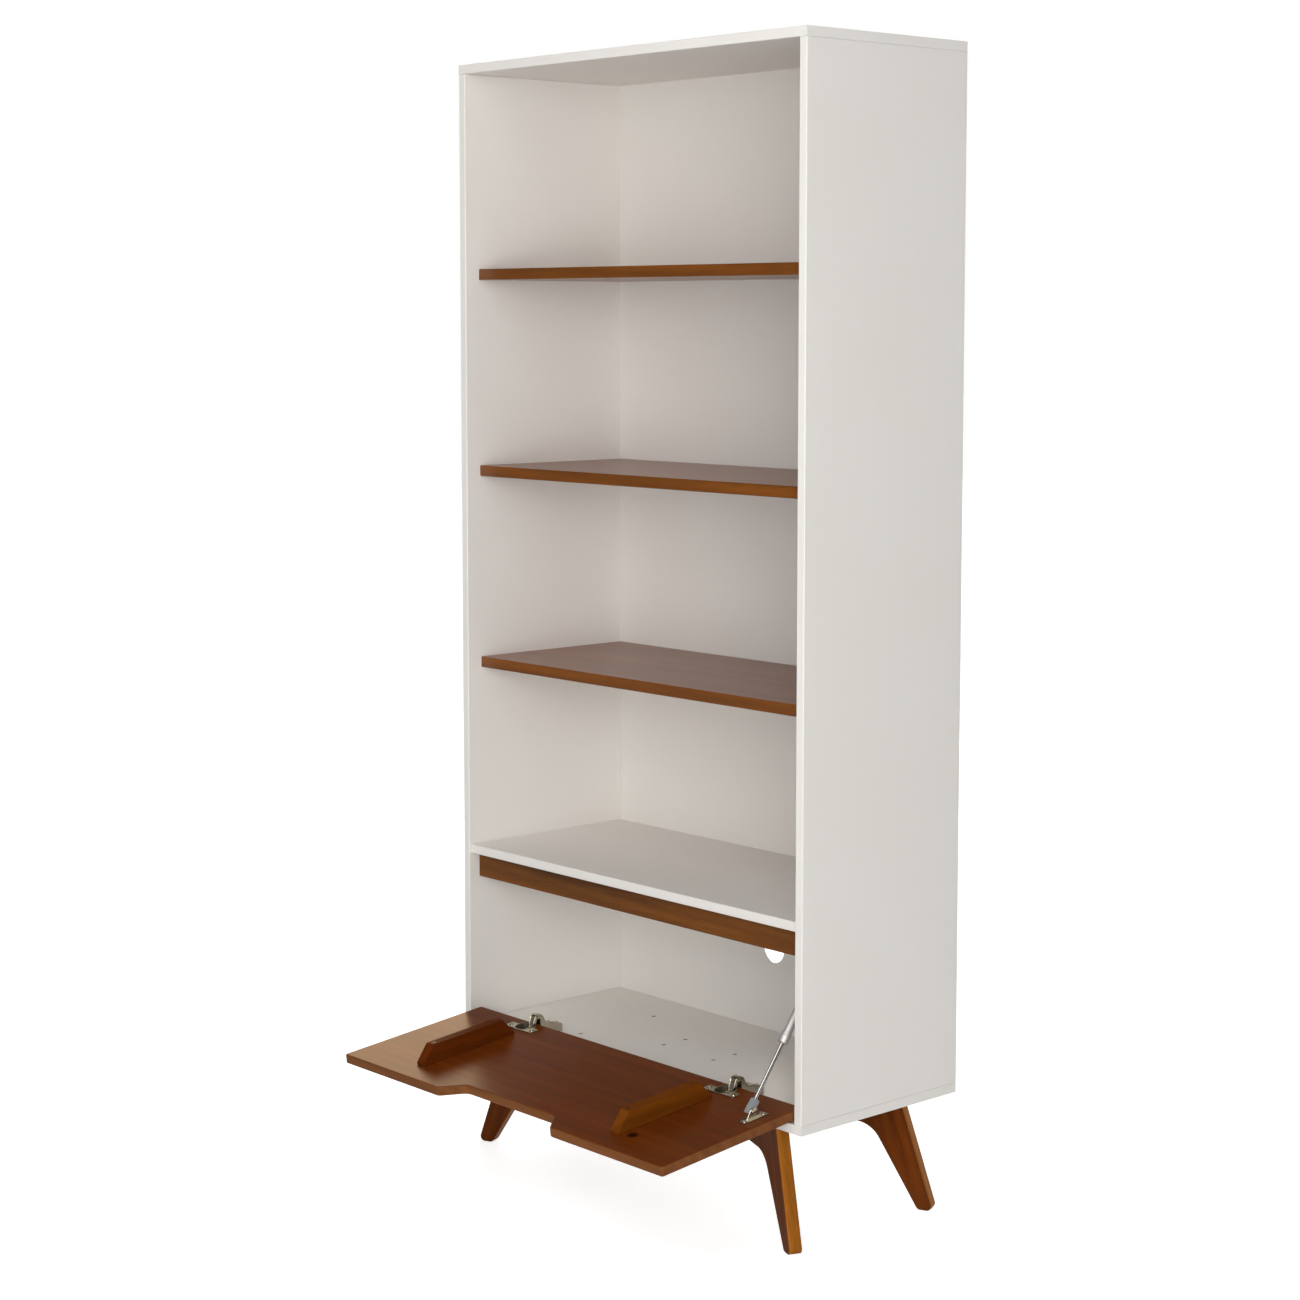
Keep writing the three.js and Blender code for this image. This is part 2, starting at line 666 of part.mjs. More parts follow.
// The cranked arm: an eye round the pin, a neck out of the cup, over the flap's edge and into the channel.
function hingeArm(x) {
  const turn = THREE.MathUtils.degToRad(NECK_DEGREES);
  const slope = Math.tan(turn);
  const halfNeck = NECK / 2;
  const shift = halfNeck / Math.sin(turn);
  const cover = HUMP_TOP - NECK;
  const neckCorners = [
    [halfNeck * Math.sin(turn), -halfNeck * Math.cos(turn)],
    [cover / slope + shift, cover, NECK_BEND - NECK],
    [HUMP_FRONT + ARM_WALL, cover],
    [HUMP_FRONT + ARM_WALL, HUMP_TOP - ARM_WALL],
    [HUMP_FRONT + HUMP_FRONT_ROUND, HUMP_TOP - ARM_WALL],
    [HUMP_FRONT + HUMP_FRONT_ROUND, HUMP_TOP],
    [HUMP_TOP / slope - shift, HUMP_TOP, NECK_BEND],
    [-halfNeck * Math.sin(turn), halfNeck * Math.cos(turn)],
  ];
  const neck = plate('x', neckCorners, x - NECK_WIDTH / 2, x + NECK_WIDTH / 2);
  const eye = drum('x', KNUCKLE_RADIUS, x - KNUCKLE_WIDTH / 2, x + KNUCKLE_WIDTH / 2);
  const half = ARM_WIDTH / 2;
  const hollowHalf = half - ARM_WALL;
  const outer = plate('x', armCheek(), x - half, x + half);
  const lowest = caseFloor - pivot.y;
  const hollow = plate('x', armHollow(ARM_WALL, lowest), x - hollowHalf, x + hollowHalf);
  const bore = drum('x', HINGE_PIN_RADIUS + RUNNING, x - half, x + half, SMALL_STEPS);
  return cut(join(cut(outer, hollow), neck, eye), bore);
}

// The plate screwed to the bottom panel: two wings, and a block that the arm's channel straddles.
function mountingPlate(x) {
  const low = caseFloor + JOINT - pivot.y;
  const high = low + PLATE;
  const half = ARM_WIDTH / 2;
  const end = ARM_END + PLATE_END_MARGIN;
  const tongue = plate('z', rectangle(x - half, x + half, SHANK_FRONT, end, PLATE_ROUND), low, high);
  const wingHalf = WING_SPAN / 2;
  const wingEnd = WING_FROM_PIVOT + WING_WIDTH;
  const wings = rectangle(x - wingHalf, x + wingHalf, WING_FROM_PIVOT, wingEnd, PLATE_ROUND);
  const fillHalf = half - ARM_WALL - JOINT;
  const fill = plate('x', armHollow(ARM_WALL + JOINT, low), x - fillHalf, x + fillHalf);
  const reach = block(x - half, x + half, SHANK_FRONT + ARM_WALL, ARM_END, low, HUMP_TOP);
  return join(tongue, plate('z', wings, low, high), fill.intersect(reach));
}

// The gas strut's foot on the flap
const footSide = strutOffset + SOCKET_WIDTH / 2 + LUG_FROM_SOCKET;
const footMiddle = footSide + LUG / 2;
const strutFoot = new THREE.Vector2(innerFace + STRUT_FOOT_RISE, hingeEdge + STRUT_FOOT_FROM_EDGE);

function footBracket() {
  const low = innerFace + JOINT;
  const high = low + FOOT_PLATE;
  const halfWide = FOOT_PLATE_WIDTH / 2;
  const halfLong = FOOT_PLATE_LENGTH / 2;
  const z = strutFoot.y;
  const left = footMiddle - halfWide;
  const right = footMiddle + halfWide;
  const base = rectangle(left, right, z - halfLong, z + halfLong, FOOT_PLATE_ROUND);
  const lugHalf = LUG_FOOT / 2;
  const lugTop = strutFoot.x + LUG_ROUND;
  const lugCorners = [
    [low, z - lugHalf],
    [high, z - lugHalf],
    [lugTop, z - LUG_ROUND, LUG_ROUND],
    [lugTop, z + LUG_ROUND, LUG_ROUND],
    [high, z + lugHalf],
    [low, z + lugHalf],
  ];
  const lug = plate('x', lugCorners, footSide, footSide + LUG);
  const bore = drum('x', STRUT_PIN_RADIUS + RUNNING, footSide - OVERRUN, footSide + LUG + OVERRUN);
  return cut(join(plate('y', base, low, high), lug), bore.translate([0, strutFoot.x, strutFoot.y]));
}

function footPin() {
  const headSeat = footSide + LUG + JOINT;
  const tail = strutOffset - SOCKET_WIDTH / 2 - STRUT_PIN_TAIL;
  const profile = [
    [0, tail],
    [STRUT_PIN_RADIUS, tail],
    [STRUT_PIN_RADIUS, headSeat],
    [STRUT_PIN_HEAD, headSeat],
    [STRUT_PIN_HEAD, headSeat + STRUT_PIN_HEAD_HEIGHT],
    [0, headSeat + STRUT_PIN_HEAD_HEIGHT],
  ];
  return turned('x', profile).translate([0, strutFoot.x, strutFoot.y]);
}

function openFlap() {
  const flap = new THREE.Group();
  flap.position.set(0, pivot.x, pivot.y);
  flap.rotation.x = openTurn;
  flap.add(piece('flap_panel', flapBoard(), STAINED_WOOD));
  const sides = { left: -1, right: 1 };
  for (const [name, side] of Object.entries(sides)) {
    flap.add(piece(`flap_batten_${name}`, batten(side * battenOffset), STAINED_WOOD));
    flap.add(piece(`hinge_cup_${name}`, hingeCup(side * hingeOffset), NICKEL));
    flap.add(piece(`hinge_pin_${name}`, hingePin(side * hingeOffset), SCREW_STEEL));
  }
  const screwNames = ['left_near', 'left_far', 'right_near', 'right_far'];
  battenScrewSpots().forEach((spot, i) => {
    const mesh = piece(`batten_screw_${screwNames[i]}`, screw('y', BATTEN_SCREW), SCREW_STEEL);
    mesh.position.set(...spot);
    flap.add(mesh);
  });
  flap.add(piece('strut_foot_bracket', footBracket(), NICKEL));
  flap.add(piece('strut_foot_pin', footPin(), NICKEL));
  return flap;
}

function hingeArms() {
  const arms = new THREE.Group();
  arms.position.set(0, pivot.x, pivot.y);
  const sides = { left: -1, right: 1 };
  for (const [name, side] of Object.entries(sides)) {
    arms.add(piece(`hinge_arm_${name}`, hingeArm(side * hingeOffset), NICKEL));
    arms.add(piece(`hinge_plate_${name}`, mountingPlate(side * hingeOffset), NICKEL));
  }
  return arms;
}

// The strut's pivots in the case, flap open and flap closed, and the travel between them
const strutTurn = THREE.MathUtils.degToRad(STRUT_DEGREES);
const origin = new THREE.Vector2();
const footOpen = strutFoot.clone().rotateAround(origin, openTurn).add(pivot);
const footClosed = strutFoot.clone().add(pivot);
const strutHead = new THREE.Vector2(STRUT_LENGTH, 0).rotateAround(origin, strutTurn).add(footOpen);
const strutTravel = STRUT_LENGTH - strutHead.distanceTo(footClosed);

const tubeEnd = STRUT_LENGTH - EYE_REACH;
const collarStart = SOCKET_REACH + STRUT_SPARE + strutTravel;
const tubeStart = collarStart + COLLAR_FLOOR + JOINT;
const tubeBore = TUBE_RADIUS - TUBE_WALL;
const glandStart = tubeStart + TUBE_LIP + JOINT;
const pistonStart = glandStart + GLAND_LENGTH + JOINT;
const rodEnd = pistonStart + PISTON_LENGTH;

// The strut's pieces in the strut's frame: y from its foot to its head.
function strutSocket() {
  const shoulder = SOCKET_ROUND - SOCKET_TAPER;
  const corners = [
    [-SOCKET_ROUND, -SOCKET_ROUND, SOCKET_ROUND - SOCKET_TAPER],
    [SOCKET_REACH, -shoulder],
    [SOCKET_REACH, shoulder],
    [-SOCKET_ROUND, SOCKET_ROUND, SOCKET_ROUND - SOCKET_TAPER],
  ];
  const half = SOCKET_WIDTH / 2;
  const body = plate('x', corners, -half, half, SOCKET_TAPER);
  const cross = drum('x', STRUT_PIN_RADIUS + RUNNING, -half - OVERRUN, half + OVERRUN);
  const seat = drum('y', ROD_RADIUS + RUNNING, ROD_SEAT - JOINT, SOCKET_REACH + OVERRUN);
  return cut(body, cross, seat);
}

function strutTube() {
  const profile = [
    [ROD_RADIUS + RUNNING, tubeStart],
    [TUBE_RADIUS, tubeStart],
    [TUBE_RADIUS, tubeEnd],
    [tubeBore, tubeEnd],
    [tubeBore, tubeStart + TUBE_LIP],
    [ROD_RADIUS + RUNNING, tubeStart + TUBE_LIP],
    [ROD_RADIUS + RUNNING, tubeStart],
  ];
  return turned('y', profile, FINE_STEPS);
}

function strutCollar() {
  const end = collarStart + COLLAR_LENGTH;
  const inner = ROD_RADIUS + RUNNING;
  const outer = TUBE_RADIUS + JOINT;
  const profile = [
    [inner, collarStart],
    [COLLAR_RADIUS - COLLAR_EASE, collarStart],
    [COLLAR_RADIUS, collarStart + COLLAR_EASE],
    [COLLAR_RADIUS, end - COLLAR_EASE],
    [COLLAR_RADIUS - COLLAR_EASE / 2, end],
    [outer, end],
    [outer, collarStart + COLLAR_FLOOR],
    [inner, collarStart + COLLAR_FLOOR],
    [inner, collarStart],
  ];
  return turned('y', profile, FINE_STEPS);
}

function strutEye() {
  const collar = tubeEnd + JOINT;
  const neck = [
    [0, tubeEnd - EYE_SPIGOT],
    [tubeBore - JOINT, tubeEnd - EYE_SPIGOT],
    [tubeBore - JOINT, collar],
    [TUBE_RADIUS, collar],
    [TUBE_RADIUS, STRUT_LENGTH],
    [0, STRUT_LENGTH],
  ];
  const boss = drum('x', EYE_RADIUS, -EYE_RADIUS, EYE_RADIUS, FINE_STEPS);
  return join(turned('y', neck, FINE_STEPS), boss.translate([0, STRUT_LENGTH, 0]));
}

function gasStrut() {
  const strut = new THREE.Group();
  strut.position.set(strutOffset, footOpen.x, footOpen.y);
  strut.rotation.x = strutTurn;
  const bore = ROD_RADIUS + RUNNING;
  const land = tubeBore - JOINT;
  strut.add(piece('strut_rod', drum('y', ROD_RADIUS, ROD_SEAT, rodEnd), BRIGHT_STEEL));
  strut.add(piece('strut_rod_socket', strutSocket(), GREY_PLASTIC));
  strut.add(piece('strut_piston', ring('y', bore, land, pistonStart, rodEnd), BLACK_PLASTIC));
  strut.add(piece('strut_tube', strutTube(), BRIGHT_STEEL));
  strut.add(piece('strut_collar', strutCollar(), BRIGHT_STEEL));
  const gland = ring('y', bore, land, glandStart, glandStart + GLAND_LENGTH);
  strut.add(piece('strut_gland', gland, BLACK_PLASTIC));
  strut.add(piece('strut_tube_eye', strutEye(), GREY_PLASTIC));
  return strut;
}

// The bracket on the right side panel, whose stud carries the strut's head.
function sideBracket() {
  const wall = innerHalf - JOINT;
  const face = wall - SIDE_PLATE;
  const tip = strutOffset + EYE_RADIUS + JOINT;
  const halfLong = SIDE_PLATE_LENGTH / 2;
  const halfWide = SIDE_PLATE_WIDTH / 2;
  const corners = rectangle(-halfWide, halfWide, -halfLong, halfLong, FOOT_PLATE_ROUND);
  const foot = plate('x', corners, face, wall);
  const boss = drum('x', STUD_FOOT_RADIUS, face - STUD_FOOT_HEIGHT, wall);
  return join(foot, boss, drum('x', STUD_RADIUS, tip, wall)).translate([0, strutHead.x, strutHead.y]);
}

const bookcase = new THREE.Group();
bookcase.add(caseBoards(), crossedBase(), hingeArms(), openFlap(), gasStrut());
bookcase.add(piece('strut_side_bracket', sideBracket(), NICKEL));

// The origin goes to the floor, in the middle of the box round the bookcase with its flap open.
const bounds = new THREE.Box3().setFromObject(bookcase, true);
bookcase.position.set(0, -(bounds.min.y + bounds.max.y) / 2, 0);

export default bookcase;
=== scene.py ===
import json
from math import cos, pi, radians, sin

import bpy
import numpy as np
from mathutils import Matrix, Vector


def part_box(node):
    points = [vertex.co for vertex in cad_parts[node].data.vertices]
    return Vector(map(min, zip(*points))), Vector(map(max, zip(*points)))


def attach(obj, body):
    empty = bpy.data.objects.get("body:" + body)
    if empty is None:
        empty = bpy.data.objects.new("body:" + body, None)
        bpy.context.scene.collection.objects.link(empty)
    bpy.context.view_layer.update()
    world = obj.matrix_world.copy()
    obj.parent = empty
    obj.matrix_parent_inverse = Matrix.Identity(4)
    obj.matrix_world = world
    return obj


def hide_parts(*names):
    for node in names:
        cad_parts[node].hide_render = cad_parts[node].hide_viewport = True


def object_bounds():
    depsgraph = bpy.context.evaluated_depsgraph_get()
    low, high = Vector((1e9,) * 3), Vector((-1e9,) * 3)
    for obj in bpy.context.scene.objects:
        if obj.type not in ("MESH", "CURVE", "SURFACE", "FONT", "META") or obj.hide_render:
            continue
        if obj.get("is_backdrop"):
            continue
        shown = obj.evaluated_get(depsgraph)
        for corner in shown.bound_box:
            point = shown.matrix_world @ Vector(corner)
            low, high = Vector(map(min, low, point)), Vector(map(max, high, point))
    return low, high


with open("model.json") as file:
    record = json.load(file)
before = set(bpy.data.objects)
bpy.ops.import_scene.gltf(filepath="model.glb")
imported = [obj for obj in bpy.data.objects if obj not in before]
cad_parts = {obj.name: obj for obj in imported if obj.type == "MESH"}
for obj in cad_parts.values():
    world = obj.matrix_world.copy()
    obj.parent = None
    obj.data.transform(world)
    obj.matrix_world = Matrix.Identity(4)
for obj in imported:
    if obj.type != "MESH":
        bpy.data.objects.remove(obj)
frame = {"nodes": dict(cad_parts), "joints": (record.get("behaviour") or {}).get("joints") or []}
cad_low, cad_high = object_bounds()

# Camera
# The photograph is taken from ahead and to the right at about chest height, on a long lens. The
# camera's place is measured from the case's lower left front corner.
MM = 0.001
PHOTO_PIXELS = 1300
CAMERA_FROM_CORNER = np.array([3451, -2665, 1194]) * MM
CAMERA_TURN_DEGREES = 48.22
CAMERA_DIP_DEGREES = 5.53
CAMERA_LENS_PIXELS = 2631
CAMERA_SENSOR_MM = 36
HORIZON_SHIFT_PIXELS = 78

case_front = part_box("side_panel_left")[0].y
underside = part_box("bottom_panel")[0]
case_corner = np.array([underside.x, case_front, underside.z])
lens = bpy.data.cameras.new("photo_lens")
lens.sensor_width = CAMERA_SENSOR_MM
lens.lens = lens.sensor_width * CAMERA_LENS_PIXELS / PHOTO_PIXELS
lens.shift_y = -HORIZON_SHIFT_PIXELS / PHOTO_PIXELS
camera = bpy.data.objects.new("photo_camera", lens)
camera.location = case_corner + CAMERA_FROM_CORNER
camera.rotation_euler = (radians(90 - CAMERA_DIP_DEGREES), 0, radians(CAMERA_TURN_DEGREES))
bpy.context.collection.objects.link(camera)
bpy.context.scene.camera = camera
bpy.context.scene.view_settings.view_transform = "Standard"

# Studio
# A white sweep with soft lamps ahead to the right, above that and behind to the left, and even
# light from all round. The camera sees white all round. Gloss sees the white sweep behind the
# bookcase, a dim room in front of it, and a warm reflector behind it to the left.
AMBIENT = 0.2
ROOM = 0.18
SWEEP_FROM = 0.12
SWEEP_TO = 0.5
FLOOR_HALF = 14.0
FLOOR_PAPER = "F2F2F2"
FLOOR_NEAR = dict(reach=0.9, glow=0.72)
FLOOR_FAR = dict(reach=3.0, glow=1.0)
LAMPS = {
    "key_softbox": dict(turn=45, rise=5, power=130, colour="FFFFFF", lights=True),
    "high_softbox": dict(turn=20, rise=45, power=58, colour="FFFFFF", lights=True),
    "rear_softbox": dict(turn=-142, rise=25, power=85, colour="FFFFFF", lights=True),
    "warm_reflector": dict(turn=-123, rise=18, power=88, colour="FFE0A7", lights=False),
}
LAMP_AWAY = 4.4
LAMP_WIDTH = 3.0


def linear(code):
    """A colour written as sRGB hex, turned to linear red, green, blue and alpha."""
    parts = [int(code[i : i + 2], 16) / 255 for i in (0, 2, 4)]
    return [p / 12.92 if p <= 0.04045 else ((p + 0.055) / 1.055) ** 2.4 for p in parts] + [1.0]


def add_node(tree, kind, settings=None, **links):
    """A node in tree. Settings are its properties, or its sockets by name or number, and each link
    gives a socket the output that feeds it, by name with _ for a space, or as _ and its number."""
    node = tree.nodes.new(kind)
    for key, value in (settings or {}).items():
        if isinstance(key, int) or key in node.inputs:
            node.inputs[key].default_value = value
        else:
            setattr(node, key, value)
    for key, output in links.items():
        socket = int(key[1:]) if key[0] == "_" else key.replace("_", " ")
        tree.links.new(output, node.inputs[socket])
    return node


world = bpy.data.worlds.new("white_studio")
bpy.context.scene.world = world
world.use_nodes = True
tree = world.node_tree
tree.nodes.clear()
ray = add_node(tree, "ShaderNodeLightPath")
way = add_node(tree, "ShaderNodeTexCoord").outputs["Generated"]
way = add_node(tree, "ShaderNodeSeparateXYZ", _0=way)
sweep_seen = add_node(
    tree,
    "ShaderNodeMapRange",
    {"From Min": SWEEP_FROM, "From Max": SWEEP_TO, "To Min": ROOM, "To Max": 1.0},
    Value=way.outputs["Y"],
)
white_seen = add_node(
    tree,
    "ShaderNodeMath",
    dict(operation="MAXIMUM"),
    _0=ray.outputs["Is Camera Ray"],
    _1=ray.outputs["Is Transmission Ray"],
)
level = add_node(
    tree, "ShaderNodeMapRange", {"To Min": AMBIENT, "To Max": 1.0}, Value=white_seen.outputs[0]
)
level = add_node(
    tree,
    "ShaderNodeMix",
    _0=ray.outputs["Is Glossy Ray"],
    _2=level.outputs["Result"],
    _3=sweep_seen.outputs["Result"],
)
sky = add_node(
    tree, "ShaderNodeBackground", {"Color": linear("FFFFFF")}, Strength=level.outputs["Result"]
)
add_node(tree, "ShaderNodeOutputWorld", Surface=sky.outputs[0])

# The floor is matt white paper that keeps the shadow. To the camera it also glows, more with the
# distance, so that it runs into the white behind.
sheet = bpy.data.meshes.new("studio_floor")
corners = [(-1, -1), (1, -1), (1, 1), (-1, 1)]
sheet.from_pydata([(FLOOR_HALF * x, FLOOR_HALF * y, 0.0) for x, y in corners], [], [(0, 1, 2, 3)])
studio_floor = bpy.data.objects.new("studio_floor", sheet)
bpy.context.collection.objects.link(studio_floor)
studio_floor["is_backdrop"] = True
paper = bpy.data.materials.new("floor_paper")
paper.use_nodes = True
tree = paper.node_tree
tree.nodes.clear()
matt = add_node(tree, "ShaderNodeBsdfDiffuse", {"Color": linear(FLOOR_PAPER)})
place = add_node(tree, "ShaderNodeTexCoord").outputs["Object"]
away = add_node(tree, "ShaderNodeVectorMath", dict(operation="LENGTH"), _0=place)
glow_range = {
    "From Min": FLOOR_NEAR["reach"],
    "From Max": FLOOR_FAR["reach"],
    "To Min": FLOOR_NEAR["glow"],
    "To Max": FLOOR_FAR["glow"],
}
glow_level = add_node(tree, "ShaderNodeMapRange", glow_range, Value=away.outputs["Value"])
glow = add_node(
    tree,
    "ShaderNodeEmission",
    {"Color": linear("FFFFFF")},
    Strength=glow_level.outputs["Result"],
)
ray = add_node(tree, "ShaderNodeLightPath")
dark = add_node(tree, "ShaderNodeEmission", {"Strength": 0.0})
lift = add_node(
    tree,
    "ShaderNodeMixShader",
    _0=ray.outputs["Is Camera Ray"],
    _1=dark.outputs[0],
    _2=glow.outputs[0],
)
lit_paper = add_node(tree, "ShaderNodeAddShader", _0=matt.outputs[0], _1=lift.outputs[0])
add_node(tree, "ShaderNodeOutputMaterial", Surface=lit_paper.outputs[0])
sheet.materials.append(paper)

aim = Vector(((cad_low.x + cad_high.x) / 2, case_front, cad_high.z / 2))
for name, lamp in LAMPS.items():
    light = bpy.data.lights.new(name, "AREA")
    light.shape = "DISK"
    light.size = LAMP_WIDTH
    light.energy = lamp["power"]
    light.color = linear(lamp["colour"])[:3]
    turn, rise = radians(lamp["turn"]), radians(lamp["rise"])
    towards = Vector((sin(turn) * cos(rise), -cos(turn) * cos(rise), sin(rise)))
    softbox = bpy.data.objects.new(name, light)
    softbox.location = aim + towards * LAMP_AWAY
    softbox.rotation_euler = towards.to_track_quat("Z", "Y").to_euler()
    softbox.visible_diffuse = lamp["lights"]
    bpy.context.collection.objects.link(softbox)

# Case boards
# Fibreboard of 15 mm, sprayed with an off-white lacquer and joined with hidden dowels. The lacquer
# is satin, with the faint ripple that spraying leaves.
LACQUER_TINTS = ("E6E2DC", "EAE7E2")
LACQUER_CLOUD_MM = 220
LACQUER_RIPPLE_MM = 2.5
LACQUER_RIPPLE_HEIGHT_MM = 0.05
LACQUER_RIPPLE_STRENGTH = 0.12
LACQUER_ROUGHNESS = 0.38
LACQUER_IOR = 1.5
nodes = frame["nodes"]


def shader(name, settings):
    """A new material's tree, with its Principled shader that has the settings."""
    material = bpy.data.materials.new(name)
    material.use_nodes = True
    tree = material.node_tree
    tree.nodes.clear()
    surface = add_node(tree, "ShaderNodeBsdfPrincipled", settings)
    add_node(tree, "ShaderNodeOutputMaterial", Surface=surface.outputs[0])
    return material, tree, surface


def noise(tree, size_mm, detail):
    """Noise of about this size, alike in every direction."""
    place = add_node(tree, "ShaderNodeTexCoord").outputs["Object"]
    settings = {"Scale": 1 / (size_mm * MM), "Detail": detail}
    return add_node(tree, "ShaderNodeTexNoise", settings, Vector=place).outputs["Fac"]


def roughen(tree, surface, pattern, height_mm, strength):
    """Gives the surface the heights of a pattern."""
    settings = {"Strength": strength, "Distance": height_mm * MM}
    bump = add_node(tree, "ShaderNodeBump", settings, Height=pattern)
    tree.links.new(bump.outputs[0], surface.inputs["Normal"])


def satin_lacquer():
    """Sprayed satin lacquer: one even off-white, a slight cloudiness and a fine ripple, which gives
    soft reflections that waver a little."""
    finish = {"Roughness": LACQUER_ROUGHNESS, "IOR": LACQUER_IOR}
    material, tree, surface = shader("satin_lacquer", finish)
    dark, light = (linear(tint) for tint in LACQUER_TINTS)
    cloud = noise(tree, LACQUER_CLOUD_MM, 2.0)
    tint = add_node(tree, "ShaderNodeMixRGB", {1: dark, 2: light}, Fac=cloud)
    tree.links.new(tint.outputs[0], surface.inputs["Base Color"])
    ripple = noise(tree, LACQUER_RIPPLE_MM, 1.0)
    roughen(tree, surface, ripple, LACQUER_RIPPLE_HEIGHT_MM, LACQUER_RIPPLE_STRENGTH)
    return material


def finish_nodes(material, *names):
    """Gives each named CAD node the material."""
    for name in names:
        mesh = nodes[name].data
        mesh.materials.clear()
        mesh.materials.append(material)


finish_nodes(
    satin_lacquer(),
    "top_panel",
    "bottom_panel",
    "side_panel_left",
    "side_panel_right",
    "back_panel",
    "fixed_shelf",
)

# Base
# Two crossing boards halved into each other, with a splayed leg tenoned to each end. They are
# solid hardwood, stained orange-brown and oiled, so the gloss is low. The broad faces have a darker,
# redder colour than the narrow edges, which is painted shade.
BASE_STAIN = "A0611E"
# The broad faces' darker colour is painted shade.
BASE_BROAD_STAIN_AND_SHADE = "65310C"
BASE_GLOSS = 0.08
LEG_RUN_SHARES = (0.31, 0.12, -0.94)  # down and outwards, with the grain
RAIL_RISE_SHARE = 0.4
BROAD_FACE_SHARES = (-0.37, 0.93)  # square to the boards' broad faces
FIGURE = dict(length_mm=420, width_mm=26, detail=4.0, low=0.3, high=0.7, darker=0.34, lighter=0.36)
FIBRES = dict(length_mm=38, width_mm=0.9, detail=3.0, low=0.34, high=0.6, darker=0.26, lighter=0.08)
RINGS = dict(low=0.0, high=1.0, darker=0.12, lighter=0.1)
RING_SCALE = 26.539278  # the wave texture's, which puts the rings about 17 mm apart
RING_STRETCH = 0.04
RING_WAVER = {"Distortion": 5.0, "Detail": 3.0, "Detail Scale": 0.35}
GRAIN_ROUGHNESS = 0.55
FIBRE_HEIGHT_MM = 0.05
FIBRE_STRENGTH = 0.25
KNOT_MM = 11
KNOT_SHADE = 0.1
BROAD_FROM = 0.6  # cosine between a face and the broad direction where the other stain starts
BROAD_TO = 0.85  # and where it is full
WOOD_IOR = 1.5
LEG_GRAIN_STEP = np.array([0.2, 0.3, 0])


def stained_wood(
    name, stain, along, offset, gloss, contrast=1.0, roughness=0.28, knot=None, broad=None
):
    """Stained wood whose grain runs along a direction. The stain is darkened and lightened by slow
    stretched noise, by wavering growth rings and by fine dark fibres, and by a knot if it has one.
    If broad is given, as a direction and a colour, the faces square to it have that other colour,
    which on the base is painted shade and on the shelves a painted sheen."""
    finish = {"Roughness": roughness, "IOR": WOOD_IOR, "Specular IOR Level": gloss}
    material, tree, surface = shader(name, finish)
    place = add_node(tree, "ShaderNodeTexCoord")
    here = place.outputs["Object"]
    turn = Vector(along).to_track_quat("X", "Z").inverted().to_euler()
    grain = add_node(
        tree, "ShaderNodeMapping", {"Rotation": turn, "Location": offset}, Vector=here
    ).outputs[0]

    def stretched(look):
        """Noise drawn out along the grain."""
        across = 1 / (look["width_mm"] * MM)
        scale = (1 / (look["length_mm"] * MM), across, across)
        fitted = add_node(tree, "ShaderNodeMapping", {"Scale": scale}, Vector=grain)
        settings = {"Scale": 1.0, "Detail": look["detail"], "Roughness": GRAIN_ROUGHNESS}
        streaks = add_node(tree, "ShaderNodeTexNoise", settings, Vector=fitted.outputs[0])
        return streaks.outputs["Fac"]

    def spread(value, low, high, weak=0.0, strong=1.0):
        """A value between low and high, turned to one between weak and strong."""
        sockets = {"From Min": low, "From Max": high, "To Min": weak, "To Max": strong}
        return add_node(tree, "ShaderNodeMapRange", sockets, Value=value).outputs["Result"]

    figure = stretched(FIGURE)
    drawn_out = {"Scale": (RING_STRETCH, 1.0, 1.0)}
    waver = add_node(tree, "ShaderNodeMapping", drawn_out, Vector=grain)
    rings = add_node(
        tree,
        "ShaderNodeTexWave",
        {"bands_direction": "DIAGONAL", "Scale": RING_SCALE, **RING_WAVER},
        Vector=waver.outputs[0],
    ).outputs["Fac"]
    fibres = stretched(FIBRES)

    # Each pattern becomes a shade about one, and the shades are multiplied.
    shades = []
    for pattern, look in ((figure, FIGURE), (rings, RINGS), (fibres, FIBRES)):
        darkest = 1 - look["darker"] * contrast
        lightest = 1 + look["lighter"] * contrast
        shades.append(spread(pattern, look["low"], look["high"], darkest, lightest))
    if knot:
        apart = add_node(
            tree, "ShaderNodeVectorMath", {"operation": "DISTANCE", 1: knot}, _0=here
        ).outputs["Value"]
        shades.append(spread(apart, KNOT_MM * MM / 2, KNOT_MM * MM, KNOT_SHADE))
    shade = shades[0]
    for other in shades[1:]:
        shade = add_node(
            tree, "ShaderNodeMath", dict(operation="MULTIPLY"), _0=shade, _1=other
        ).outputs[0]
    colour = add_node(
        tree, "ShaderNodeVectorMath", {"operation": "SCALE", 0: linear(stain)[:3]}, Scale=shade
    )
    # The broad faces' colour paints shade on the base boards and a sheen on the shelves.
    if broad:
        broad_way, broad_colour = broad
        facing = place.outputs["Normal"]
        square = add_node(
            tree, "ShaderNodeVectorMath", {"operation": "DOT_PRODUCT", 1: broad_way}, _0=facing
        ).outputs["Value"]
        square = add_node(tree, "ShaderNodeMath", dict(operation="ABSOLUTE"), _0=square).outputs[0]
        colour_here = add_node(
            tree,
            "ShaderNodeMixRGB",
            {1: linear(stain), 2: linear(broad_colour)},
            Fac=spread(square, BROAD_FROM, BROAD_TO),
        )
        tree.links.new(colour_here.outputs[0], colour.inputs[0])
    tree.links.new(colour.outputs[0], surface.inputs["Base Color"])
    roughen(tree, surface, fibres, FIBRE_HEIGHT_MM, FIBRE_STRENGTH)
    return material


